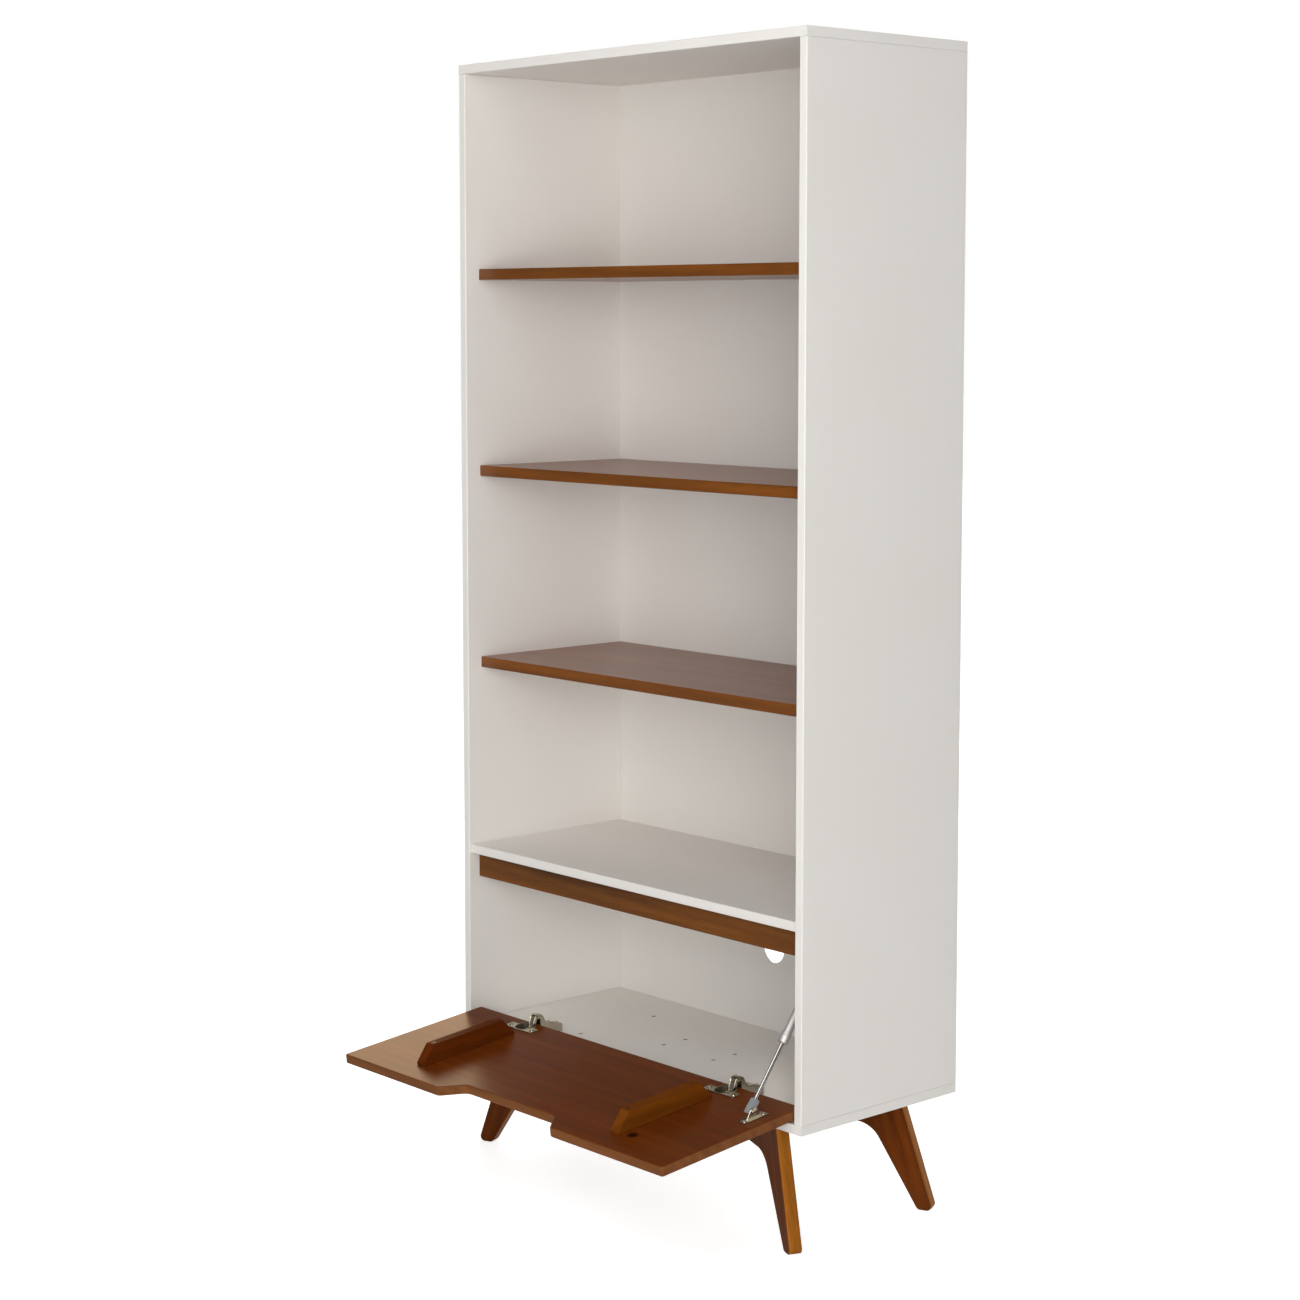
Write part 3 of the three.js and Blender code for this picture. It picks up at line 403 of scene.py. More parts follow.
# Each board is a piece of wood of its own, so the grain follows it and starts at another place.
base_boards = {}
for i, name in enumerate(["leg_front_left", "leg_front_right", "leg_rear_left", "leg_rear_right"]):
    low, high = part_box(name)
    out = 1 if high.x > 0 else -1
    back = 1 if "rear" in name else -1
    run = (LEG_RUN_SHARES[0] * out, LEG_RUN_SHARES[1] * back, LEG_RUN_SHARES[2])
    base_boards[name] = (run, out * back, tuple(LEG_GRAIN_STEP * i))
for name, back in {"cross_rail_rising": 1, "cross_rail_falling": -1}.items():
    base_boards[name] = ((1, RAIL_RISE_SHARE * back, 0), back, (0, back, 0))
for name, (run, side, offset) in base_boards.items():
    square_to_face = (BROAD_FACE_SHARES[0] * side, BROAD_FACE_SHARES[1], 0)
    oiled = stained_wood(
        f"oiled_{name}",
        BASE_STAIN,
        run,
        offset,
        BASE_GLOSS,
        broad=(square_to_face, BASE_BROAD_STAIN_AND_SHADE),
    )
    finish_nodes(oiled, name)

# Base screws
# Countersunk zinc-plated wood screws, sunk just under the bottom panel and driven down into the
# crossing boards. Each has a cross recess in its head and a thread that ends in a point.
BASE_SCREW = dict(head=4.0, sink=3.4, shank=2.2, length=48.0)
HEAD_FACE_SHARE = 0.93
HEAD_EDGE = (0.12, 0.35)  # how far below the head's face its rim and its cone's start lie
THREAD_PITCH = 2.2
THREAD_DEPTH = 0.5
THREAD_STEPS = 5  # rings of points for each turn
THREAD_STEEPNESS = 5  # of its flanks
RECESS_WIDTH = 1.1
RECESS_DEPTH = 1.9
RECESS_REACH_SHARE = 0.68
SCREW_TIP = 5.0
TIP_SHARE = 0.02
PLATING_WAVER = (0.7, 1.3)
PLATING_STRENGTH = 0.1
POLE = 0.03  # radius of the small face that closes a pole, in mm
SHARP_DEGREES = 32
ALONG_Z = [1, 2, 0]  # turns rows made along x so that they run along z


def shell(rows, joined=False):
    """A closed shell from rows of points around it. Quads join each row to the next and each row's
    last point to its first. The end rows are filled, or joined where the rows come round. The sign
    of the volume, a sixth of the sum of the corners' triple products, turns the faces outwards."""
    rows = np.asarray(rows, dtype=float)
    count, size = rows.shape[:2]
    points = rows.reshape(-1, 3)
    index = np.arange(count * size).reshape(count, size)
    ring = np.concatenate([index, index[:1]]) if joined else index
    ahead = np.roll(ring, -1, axis=1)
    quads = np.stack([ring[:-1], ring[1:], ahead[1:], ahead[:-1]], axis=-1).reshape(-1, 4)
    fans = np.concatenate([quads[:, [0, 1, 2]], quads[:, [0, 2, 3]]])
    ends = [] if joined else [index[0], index[-1][::-1]]
    for end in ends:
        hub = np.full(size - 2, end[0])
        fans = np.concatenate([fans, np.stack([hub, end[1:-1], end[2:]], axis=-1)])
    a, b, c = (points[fans[:, k]] - points.mean(0) for k in range(3))
    inside_out = np.einsum("ij,ij->i", a, np.cross(b, c)).sum() < 0
    if inside_out:
        quads = quads[:, ::-1]
        ends = [end[::-1] for end in ends]
    return points, quads, ends


def fit(name, shells, material, body, stands_for):
    """Makes one piece of closed shells, whose points are in metres, and has it ride on its body in
    place of a CAD node."""
    points, faces, start = [], [], 0
    for shell_points, quads, ends in shells:
        points.append(shell_points)
        faces += (quads + start).tolist() + [(end + start).tolist() for end in ends]
        start += len(shell_points)
    mesh = bpy.data.meshes.new(name)
    mesh.from_pydata(np.concatenate(points), [], faces)
    mesh.materials.append(material)
    mesh.shade_smooth()
    mesh.set_sharp_from_angle(angle=radians(SHARP_DEGREES))
    piece = bpy.data.objects.new(name, mesh)
    bpy.context.collection.objects.link(piece)
    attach(piece, body)
    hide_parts(stands_for)


def turned(profile, count=40):
    """Rows round the first axis: a profile of (distance along, radius) at each of count angles."""
    profile = np.asarray(profile, dtype=float)
    angle = np.linspace(0, 2 * pi, count, endpoint=False)
    along = np.repeat(profile[:, :1], count, axis=1)
    return np.stack([along, profile[:, 1:] * np.cos(angle), profile[:, 1:] * np.sin(angle)], axis=-1)


def recess(radius, angle, width, depth, reach):
    """Depth of a cross recess: two slots at right angles, each with sloping sides and ends."""
    aside = radius * np.minimum(abs(np.sin(angle)), abs(np.cos(angle)))
    side = np.clip((width / 2 - aside) / (width / 4), 0, 1)
    end = np.clip((reach - radius) / (reach / 3), 0, 1)
    return depth * side * end


def wood_screw(head, sink, shank, length, count=36):
    """Rows of a countersunk screw, from the middle of its head (0, down its axis) to its point:
    the head's face with its recess, the cone, then a shank whose radius has a helical ridge."""
    angle = np.linspace(0, 2 * pi, count, endpoint=False)
    face_radius = np.append(np.linspace(POLE, head * HEAD_FACE_SHARE, 12), head)
    face_radius = face_radius[:, None] + 0 * angle
    reach = head * RECESS_REACH_SHARE
    face_depth = recess(face_radius, angle, RECESS_WIDTH, RECESS_DEPTH, reach)
    face_depth[-1] += HEAD_EDGE[0]
    cone_radius = np.array([[head], [shank]]) + 0 * angle
    cone_depth = np.array([[HEAD_EDGE[1]], [sink]]) + 0 * angle
    step = THREAD_PITCH / THREAD_STEPS
    down = np.arange(sink + step, length, step)[:, None] + 0 * angle
    phase = (down / THREAD_PITCH - angle / (2 * pi)) % 1
    ridge = 1 - np.clip(abs(phase - 0.5) * THREAD_STEEPNESS, 0, 1)
    taper = np.clip((length - down) / SCREW_TIP, TIP_SHARE, 1)
    shank_radius = (shank - THREAD_DEPTH * (1 - ridge)) * taper
    radius = np.concatenate([face_radius, cone_radius, shank_radius])
    depth = np.concatenate([face_depth, cone_depth, down])
    return np.stack([depth, radius * np.cos(angle), radius * np.sin(angle)], axis=-1)


def plated(name, colour, roughness, speck_mm=0.6, speck_height_mm=0.006):
    """Plated steel: a metal whose roughness and height waver a little, as barrel plating leaves
    it. The specks are drawn coarser than the real ones, so that they show."""
    finish = {"Base Color": linear(colour), "Metallic": 1.0}
    material, tree, surface = shader(name, finish)
    speck = noise(tree, speck_mm, 2.0)
    waver = {"To Min": roughness * PLATING_WAVER[0], "To Max": roughness * PLATING_WAVER[1]}
    rough = add_node(tree, "ShaderNodeMapRange", waver, Value=speck)
    tree.links.new(rough.outputs["Result"], surface.inputs["Roughness"])
    roughen(tree, surface, speck, speck_height_mm, PLATING_STRENGTH)
    return material


# Zinc plate gives the screws a grey, slightly matt shine.
zinc = plated("zinc_plate", colour="8F8A7E", roughness=0.38)
for name in nodes:
    if name.startswith("base_screw"):
        low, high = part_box(name)
        top = np.array([(low.x + high.x) / 2, (low.y + high.y) / 2, high.z])
        rows = wood_screw(**BASE_SCREW)[..., ALONG_Z] * [1, 1, -1]
        fit(f"{name}_body", [shell(rows * MM + top)], zinc, "case", name)

# Shelves
# Boards of 18 mm faced with plain-sawn veneer, stained orange-brown and varnished satin, with the
# grain along each board. Their broad faces are a little lighter than their edges, as a painted
# sheen. They rest on hidden pins.
SHELF_STAIN = "733F08"
# The broad faces' lighter colour is a painted sheen.
SHELF_BROAD_STAIN_AND_SHEEN = "7E451B"
SHELF_GLOSS = 0.4
VENEER_CONTRAST = 0.7
ALONG_BOARD = (1, 0, 0)
UPWARDS = (0, 0, 1)
SHELF_GRAIN_STEP = np.array([0.33, 0.21, 0.1])
for i, name in enumerate(["shelf_lower", "shelf_middle", "shelf_upper"]):
    varnished = stained_wood(
        f"varnished_{name}",
        SHELF_STAIN,
        ALONG_BOARD,
        tuple(SHELF_GRAIN_STEP * i),
        SHELF_GLOSS,
        VENEER_CONTRAST,
        broad=(UPWARDS, SHELF_BROAD_STAIN_AND_SHEEN),
    )
    finish_nodes(varnished, name)

# Flap stop rail
# A strip of the same stained and varnished wood, glued behind the top of the closed flap as its
# stop.
RAIL_STAIN = "6A3C0A"
RAIL_GLOSS = 0.2
RAIL_GRAIN_FROM = (0.37, 0.11, 0.2)
finish_nodes(
    stained_wood("varnished_stop_rail", RAIL_STAIN, ALONG_BOARD, RAIL_GRAIN_FROM, RAIL_GLOSS),
    "flap_stop_rail",
)

# Flap board
# A board of 15 mm, stained and varnished like the shelves, with a wide finger cut-out in its free
# edge. Its faces are darker and redder than its edges. The grain runs along it, and there is a knot
# beside the right batten.
FLAP_STAIN = "7A4C2A"
FLAP_FACE_STAIN = "6E340D"
FLAP_GLOSS = 0.04
FLAP_CONTRAST = 0.5
FLAP_GRAIN_FROM = (0.1, 0.4, 0.3)
KNOT_FROM_BATTEN = (15, -13)
joints = {joint["name"]: joint for joint in frame["joints"]}
hinge_axis = np.array(joints["flap_hinge"]["pos_m"])
open_angle = radians(-joints["flap_hinge"]["range_deg"][0])
flap_out = np.array([0, cos(open_angle), sin(open_angle)])
flap_up = np.array([0, -sin(open_angle), cos(open_angle)])


def on_flap(points):
    """From the flap's own frame in mm, x along the hinge axis, y out of its inner face and z up it
    from the axis, to where the open flap is."""
    points = np.asarray(points, dtype=float) * MM
    x = points[..., :1] * np.array([1.0, 0, 0])
    return hinge_axis + x + points[..., 1:2] * flap_out + points[..., 2:3] * flap_up


def node_points(name):
    """The points of a CAD node's mesh, in metres."""
    mesh = nodes[name].data
    flat = np.empty(len(mesh.vertices) * 3)
    mesh.vertices.foreach_get("co", flat)
    return flat.reshape(-1, 3)


def off_flap(name):
    """The flap-frame box of a CAD node, as its lowest and highest x, y and z in mm."""
    away = node_points(name) - hinge_axis
    local = np.stack([away[:, 0], away @ flap_out, away @ flap_up], axis=-1) / MM
    return local.min(0), local.max(0)


batten_high = off_flap("flap_batten_right")[1]
inner_face = off_flap("flap_panel")[1][1]
knot = [batten_high[0] + KNOT_FROM_BATTEN[0], inner_face, batten_high[2] + KNOT_FROM_BATTEN[1]]
varnished = stained_wood(
    "varnished_flap",
    FLAP_STAIN,
    ALONG_BOARD,
    FLAP_GRAIN_FROM,
    FLAP_GLOSS,
    FLAP_CONTRAST,
    knot=tuple(on_flap(knot)),
    broad=(tuple(flap_out), FLAP_FACE_STAIN),
)
finish_nodes(varnished, "flap_panel")

# Battens
# Two bars of stained and oiled wood that keep the flap flat, chamfered at their ends. Each is held
# by two countersunk screws driven through it into the flap.
# The left batten's darker stain is painted shade.
BATTEN_STAINS_AND_SHADE = {"flap_batten_left": "5C2807", "flap_batten_right": "6E3A0B"}
BATTEN_GLOSS = 0.03
BATTEN_CONTRAST = 0.7
BATTEN_ROUGHNESS = 0.65
ALONG_BATTEN = (0, 1, 0.1)
ALONG_Y = [1, 0, 2]  # turns rows made along x so that they run along y
BATTEN_SCREW = dict(head=3.8, sink=3.0, shank=1.8, length=38.0)
for name, stain in BATTEN_STAINS_AND_SHADE.items():
    oiled = stained_wood(
        f"oiled_{name}",
        stain,
        ALONG_BATTEN,
        tuple(off_flap(name)[0] * MM),
        BATTEN_GLOSS,
        BATTEN_CONTRAST,
        BATTEN_ROUGHNESS,
    )
    finish_nodes(oiled, name)

# A bronzed finish gives these screws a brown, dull shine.
bronzed = plated("bronzed_screw", colour="5A4632", roughness=0.5)
for name in nodes:
    if name.startswith("batten_screw"):
        low, high = off_flap(name)
        top = [(low[0] + high[0]) / 2, high[1], (low[2] + high[2]) / 2]
        rows = on_flap(wood_screw(**BATTEN_SCREW)[..., ALONG_Y] * [1, -1, 1] + top)
        fit(f"{name}_body", [shell(rows)], bronzed, "flap", name)

# Hinge cups
# Pressed steel, nickel plated: a cup of 35 mm let into the flap, with a flange on its face that a
# pan-head screw holds at each end. Two cheeks inside the cup carry the pin.
CUP_OUTSIDE = 17.3
CUP_WALL = 0.8
CUP_FROM_AXIS = 11.0
CUP_BACK = -4.0
CUP_CORNER = 2.2
FLANGE_SEAT = 8.3
FLANGE = 1.2
FLANGE_HALF = (34.0, 9.0)
FLANGE_SHIFT = 8.5
FLANGE_ROUND = 4.0
FLANGE_EASE = 0.12
FLANGE_RINGS = (0, 0.12, 0.7, 1.0, 1.3, 1.6, 1.9, 2.6)  # how far each lies inside the outline
FLANGE_INNER_SHARES = (0.75, 0.5, 0.25, 0)
FLANGE_ROOM = 4.0  # width of flange from which those rings keep their distance
FLANGE_ANGLES = 400
FLANGE_REACH = 40.0
RIM_RADIUS = 18.3
BEAD = 0.45
BEAD_INSET = 1.3
BEAD_WIDTH = 0.6
EAR_SCREW = 26.0
CHEEK = (7.6, 8.8)  # near and far face, from the cup's middle
CHEEK_ROUND = 3.4
CHEEK_CORNER_SHARE = 0.9
CHEEK_BELOW_LIP = 7.0
PAN_HEAD = dict(radius=3.4, height=1.5, depth=4.0)
DOME_SHARE = 0.55
PAN_RECESS_SHARES = (0.3, 0.75, 0.62)  # width of the radius, depth of the height, reach of the radius
STUB_SHARE = 0.5
HEAD_UNDER = 0.05  # how much lower the head's underside meets its stub
EASE = 0.25
THICK_IN_X = [2, 0, 1]  # turns a slab so that its thickness lies along x


def rounded(corners, steps=6):
    """An outline through corners (u, v, radius), each with an arc that meets both its sides."""
    spots = np.array([corner[:2] for corner in corners], dtype=float)
    outline = []
    for i, corner in enumerate(corners):
        radius = corner[2] if len(corner) > 2 else 0
        here = spots[i]
        if not radius:
            outline.append(here[None])
            continue
        before = spots[i - 1] - here
        after = spots[(i + 1) % len(spots)] - here
        before = before / np.hypot(*before)
        after = after / np.hypot(*after)
        half = np.arccos(before @ after) / 2
        across = before + after
        hub = here + across / np.hypot(*across) * radius / np.sin(half)
        start = here + before * radius / np.tan(half) - hub
        end = here + after * radius / np.tan(half) - hub
        swing = np.arctan2(start[0] * end[1] - start[1] * end[0], start @ end)
        angle = np.linspace(0, swing, steps + 1)[:, None]
        outline.append(hub + np.cos(angle) * start + np.sin(angle) * [-start[1], start[0]])
    return np.concatenate(outline)


def slab(outline, low, high, ease=EASE):
    """Rows of a board with this outline between low and high on the third axis. Its edges are
    eased: the first and last ring are moved inwards along the outline's normals."""
    outline = np.asarray(outline, dtype=float)
    ahead = np.roll(outline, -1, axis=0)
    side = (ahead - outline) / np.linalg.norm(ahead - outline, axis=1)[:, None]
    normal = np.stack([side[:, 1], -side[:, 0]], axis=-1)
    normal = normal + np.roll(normal, 1, axis=0)
    normal /= np.linalg.norm(normal, axis=1)[:, None]
    area = (outline[:, 0] * ahead[:, 1] - outline[:, 1] * ahead[:, 0]).sum()
    inner = outline - ease * np.sign(area) * normal
    rings = [(inner, low), (outline, low + ease), (outline, high - ease), (inner, high)]
    return np.stack([np.column_stack([ring, np.full(len(ring), at)]) for ring, at in rings])


def pan_screw(radius, height, depth, count=36):
    """Rows of a pan-head screw, from the middle of its domed head down to the end of its stub:
    the head's height falls as a fourth power of the radius, less the cross recess."""
    angle = np.linspace(0, 2 * pi, count, endpoint=False)
    out = np.linspace(POLE, radius, 16)[:, None] + 0 * angle
    dome = height * (1 - DOME_SHARE * (out / radius) ** 4)
    width, deep, reach = PAN_RECESS_SHARES
    dome = dome - recess(out, angle, radius * width, height * deep, radius * reach)
    stub = np.array([[0, radius], [-HEAD_UNDER, radius * STUB_SHARE], [-depth, radius * STUB_SHARE]])
    rows_radius = np.concatenate([out, stub[:, 1:] + 0 * angle])
    rows_height = np.concatenate([dome, stub[:, :1] + 0 * angle])
    return np.stack([rows_height, rows_radius * np.cos(angle), rows_radius * np.sin(angle)], axis=-1)


def flange_rows():
    """Rows round the cup's flange, from its hole over its face and back under it. The outline is
    the union of the rim's circle and the rounded ears, found along each angle, and the face has a
    raised bead at a set distance inside the outline."""
    angle = np.linspace(0, 2 * pi, FLANGE_ANGLES, endpoint=False)
    reach = np.linspace(CUP_OUTSIDE, FLANGE_REACH, 900)[:, None]

    def outside(x, z):
        """Distance outside the outline, the lesser of that from the ears and that from the rim."""
        over_x = abs(x) - FLANGE_HALF[0] + FLANGE_ROUND
        over_z = abs(z - FLANGE_SHIFT) - FLANGE_HALF[1] + FLANGE_ROUND
        corner = np.hypot(np.maximum(over_x, 0), np.maximum(over_z, 0))
        ears = corner + np.minimum(np.maximum(over_x, over_z), 0) - FLANGE_ROUND
        return np.minimum(ears, np.hypot(x, z) - RIM_RADIUS)

    inside = outside(reach * np.cos(angle), reach * np.sin(angle)) <= 0
    edge = np.where(inside, reach, 0).max(0)
    hole = CUP_OUTSIDE - CUP_WALL
    room = np.minimum(1, (edge - hole) / FLANGE_ROOM)
    outer = edge - np.array(FLANGE_RINGS)[:, None] * room
    inner = hole + (outer[-1] - hole) * np.array(FLANGE_INNER_SHARES)[:, None]
    radius = np.concatenate([outer, inner])
    x, z = radius * np.cos(angle), radius * np.sin(angle)
    bead = BEAD * np.exp(-(((outside(x, z) + BEAD_INSET) / BEAD_WIDTH) ** 2))
    height = FLANGE_SEAT + FLANGE + bead
    height[0] -= FLANGE_EASE
    seat = np.full((2, FLANGE_ANGLES), FLANGE_SEAT)
    under = np.stack([x[[-1, 0]], seat, z[[-1, 0]]], axis=-1)
    return np.concatenate([np.stack([x, height, z], axis=-1), under])


# Nickel plate has a warm grey shine. Down in the cup it is rougher, and darker as painted shade.
nickel = plated("nickel_plate", colour="C4BBA8", roughness=0.15)
# The cup's darker colour is painted shade.
cup_inside_shade = plated("cup_inside_painted_shade", colour="7A7363", roughness=0.45)
pan = pan_screw(**PAN_HEAD)
lip = FLANGE_SEAT + FLANGE
cup_floor = CUP_BACK + CUP_WALL
cup_inside = CUP_OUTSIDE - CUP_WALL
bend = np.linspace(0, pi / 2, 7)
corner_height = CUP_BACK + CUP_CORNER * (1 - np.cos(bend))
corner_radius = CUP_OUTSIDE - CUP_CORNER + CUP_CORNER * np.sin(bend)
bowl = [(CUP_BACK, POLE), *zip(corner_height, corner_radius), (lip, CUP_OUTSIDE), (lip, cup_inside)]
bowl += [(cup_floor + CUP_CORNER, cup_inside), (cup_floor, cup_inside - CUP_CORNER)]
bowl += [(cup_floor, POLE)]
cheek_corner = CHEEK_ROUND * CHEEK_CORNER_SHARE
cheek = rounded(
    [
        (lip - CHEEK_BELOW_LIP, -CHEEK_ROUND, cheek_corner),
        (lip - CHEEK_BELOW_LIP, CHEEK_ROUND, cheek_corner),
        (CUP_BACK, CHEEK_ROUND),
        (CUP_BACK, -CHEEK_ROUND),
    ]
)
for side in ("left", "right"):
    cup = f"hinge_cup_{side}"
    low, high = off_flap(cup)
    middle = np.array([(low[0] + high[0]) / 2, 0, CUP_FROM_AXIS])
    bowl_rows = turned(bowl, 72)[..., ALONG_Y] + middle
    fit(f"{cup}_bowl", [shell(on_flap(bowl_rows))], cup_inside_shade, "flap", cup)
    shells = [shell(on_flap(flange_rows() + middle), joined=True)]
    for hand in (-1, 1):
        near, far = sorted([hand * CHEEK[0], hand * CHEEK[1]])
        rows = slab(cheek, near, far)[..., THICK_IN_X]
        shells.append(shell(on_flap(rows + [middle[0], 0, 0])))
        ear = middle + [hand * EAR_SCREW, lip, FLANGE_SHIFT]
        shells.append(shell(on_flap(pan[..., ALONG_Y] + ear)))
    fit(f"{cup}_body", shells, nickel, "flap", cup)
finish_nodes(zinc, "hinge_pin_left", "hinge_pin_right")

# Hinge arms
# Pressed steel channel, nickel plated: a strap with turned edges leaves the cup and enters the
# arm's hump, which clears the flap's edge. The shank behind it clips over its mounting plate.
ARM_HALF = 7.5
ARM_WALL = 1.2
ARM_ROUND = 1.6
ARM_UNDER = -10.2
ARM_STEPS = 150
LIP_UNDER = 17.5
SHOULDER_FRONT = 14.0
SHOULDER_HALF = 1.5
CREST = [(7.2, 23.0), (8.0, 23.6), (9.2, 24.1), (11.5, 24.5), (15.0, 24.4), (18.5, 22.8)]
CREST += [(21.0, 20.2), (22.8, 16.8), (24.6, 13.0), (27.0, 9.8), (30.0, 8.0), (34.0, 7.2)]
CREST += [(39.0, 7.1), (43.5, 7.0), (45.5, 5.6), (47.5, 4.2), (50.0, 3.8), (55.0, 3.0)]
CREST += [(60.0, 1.6), (61.0, 1.0)]
NECK_LEAN = 0.36
NECK_FOOT = -3.0
NECK_LOW = -1.5
NECK_TOP = 22.0
NECK_HALF = 6.3
NECK_WALL = 1.4
NECK_ROUND = 1.2
NECK_EDGE = (1.9, 4.5)  # depth of the turned edges at the neck's ends and along its middle
NECK_EDGE_AT = (0, 7, 16, NECK_TOP)
RIB_RADIUS = 0.8
RIB_TIP = 0.3
RIB_FROM = (2, 3)  # where its tip starts and where it is full
RIB_PAST_NECK = 0.6
KNUCKLE = (2.9, 7.2)  # radius and half length
KNUCKLE_EASE = 0.3
ARM_SCREWS = ((36.5, 7.2), (54.0, 3.1))
ARM_HEAD = dict(radius=2.9, height=0.9, depth=3.0)


def on_case(points):
    """From mm, measured from the hinge axis to the back and upwards, to the fixed place."""
    return hinge_axis + np.asarray(points, dtype=float) * MM


def eased_pin(low, high, radius, ease):
    """The profile of a round pin from low to high along its axis, with both its rims eased."""
    half = [(low, POLE), (low, radius - ease), (low + ease, radius)]
    return half + [(high - ease, radius), (high, radius - ease), (high, POLE)]


def channel(centre, normal, drop, half, wall, corner):
    """Rows of a pressed channel along a path: at each point of the centre line, a section whose top
    lies on it and whose two cheeks run drop against the normal, with rounded corners outside."""
    bend = np.linspace(0, pi / 2, 5)
    across = np.concatenate(
        [[-half], -half + corner * (1 - np.cos(bend)), half - corner * (1 - np.sin(bend)), [half]]
    )
    across = np.concatenate([across, [half - wall, half - wall, wall - half, wall - half]])
    sunk = np.concatenate([corner * (1 - np.sin(bend)), corner * (1 - np.cos(bend))])
    drop = np.asarray(drop)[:, None]
    depth = np.concatenate(
        [drop, sunk + 0 * drop, drop, drop, wall + 0 * drop, wall + 0 * drop, drop], axis=1
    )
    point = centre[:, None] - depth[..., None] * normal[:, None]
    return np.concatenate([across[None, :, None] + 0 * point[..., :1], point], axis=-1)


# The arm's upper line runs through the crest's points and is smoothed over seven steps. Its cheeks
# end at the hump's lip in front, and past the shoulder they come down almost to the plate.
crest_spots = np.array(CREST)
back = np.linspace(CREST[0][0], CREST[-1][0], ARM_STEPS)
crest = np.interp(back, crest_spots[:, 0], crest_spots[:, 1])
padded_crest = np.pad(crest, 3, mode="reflect", reflect_type="odd")
crest = np.convolve(padded_crest, np.full(7, 1 / 7), mode="valid")
step = np.clip((back - SHOULDER_FRONT + SHOULDER_HALF) / (2 * SHOULDER_HALF), 0, 1)
step = step * step * (3 - 2 * step)
under = LIP_UNDER + (ARM_UNDER - LIP_UNDER) * step**3
upright = np.tile([0.0, 1.0], (len(back), 1))
arm_rows = channel(
    np.column_stack([back, crest]), upright, crest - under, ARM_HALF, ARM_WALL, ARM_ROUND
)

# The neck is a straight channel that leans back, with a rib along each edge of its front face.
rise = np.linspace(NECK_LOW, NECK_TOP, 24)
lean = np.array([-1.0, NECK_LEAN]) / np.hypot(1, NECK_LEAN)
neck_line = np.column_stack([NECK_FOOT + rise * NECK_LEAN, rise])
edge_low, edge_high = NECK_EDGE
neck_edge = np.interp(rise, NECK_EDGE_AT, [edge_low, edge_high, edge_high, edge_low])
neck_facing = np.tile(lean, (len(rise), 1))
neck_rows = channel(neck_line, neck_facing, neck_edge, NECK_HALF, NECK_WALL, NECK_ROUND)
neck_way = np.array([0, lean[1], -lean[0]])
rib_end = NECK_TOP + RIB_PAST_NECK
rib_profile = [(RIB_FROM[0], POLE), (RIB_FROM[0], RIB_TIP), (RIB_FROM[1], RIB_RADIUS)]
rib_profile += [(NECK_TOP, RIB_RADIUS), (rib_end, RIB_TIP), (rib_end, POLE)]
rib = turned(rib_profile, 16)
rib_rows = rib[..., :1] * neck_way + rib[..., 2:] * np.array([0, *lean]) + [0, NECK_FOOT, 0]
rib_rows = rib_rows + rib[..., 1:2] * np.array([1.0, 0, 0])
rib_out = NECK_HALF - RIB_RADIUS
knuckle = turned(eased_pin(-KNUCKLE[1], KNUCKLE[1], KNUCKLE[0], KNUCKLE_EASE))
for side in ("left", "right"):
    arm = f"hinge_arm_{side}"
    low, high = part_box(arm)
    middle = np.array([(low.x + high.x) / 2 / MM, 0, 0])
    ribs = [rib_rows + [hand * rib_out, 0, 0] for hand in (-1, 1)]
    shells = [shell(on_case(rows + middle)) for rows in (arm_rows, neck_rows, knuckle, *ribs)]
    for u, v in ARM_SCREWS:
        rows = pan_screw(**ARM_HEAD)[..., ALONG_Z] + [0, u, v]
        shells.append(shell(on_case(rows + middle)))
    fit(f"{arm}_body", shells, nickel, "case", arm)

# Mounting plates
# Nickel-plated plates on the bottom panel. Each has a block under the arm's shank and two wings,
# and a pan-head screw holds each wing.
PLATE_LOW = -12.2
PLATE_HIGH = -10.5
WINGS = (23.0, 40.0, 53.0)  # half width, front and back
WING_ROUND = 5.0
WING_SCREW_INSET = 7.0
TONGUE = (7.5, 30.0, 63.0)  # likewise
TONGUE_ROUND = 3.0
BLOCK = [(32.6, -10.6), (59.4, -10.6), (59.4, -0.8, 0.6), (33.4, 5.2, 1.5)]
BLOCK_HALF = 5.8


def rounded_box(low, high, radius=0):
    """The outline of a box between two opposite corners, with its four corners rounded."""
    spots = [(low[0], low[1]), (high[0], low[1]), (high[0], high[1]), (low[0], high[1])]
    return rounded([(*spot, radius) for spot in spots])


wings = rounded_box((-WINGS[0], WINGS[1]), (WINGS[0], WINGS[2]), WING_ROUND)
tongue = rounded_box((-TONGUE[0], TONGUE[1]), (TONGUE[0], TONGUE[2]), TONGUE_ROUND)
block = slab(rounded(BLOCK), -BLOCK_HALF, BLOCK_HALF)[..., THICK_IN_X]
for side in ("left", "right"):
    plate = f"hinge_plate_{side}"
    low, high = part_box(plate)
    middle = np.array([(low.x + high.x) / 2 / MM, 0, 0])
    boards = [slab(outline, PLATE_LOW, PLATE_HIGH) for outline in (wings, tongue)]
    shells = [shell(on_case(rows + middle)) for rows in (*boards, block)]
    for hand in (-1, 1):
        ear = [hand * (WINGS[0] - WING_SCREW_INSET), (WINGS[1] + WINGS[2]) / 2, PLATE_HIGH]
        shells.append(shell(on_case(pan[..., ALONG_Z] + (middle + ear))))
    fit(f"{plate}_body", shells, nickel, "case", plate)

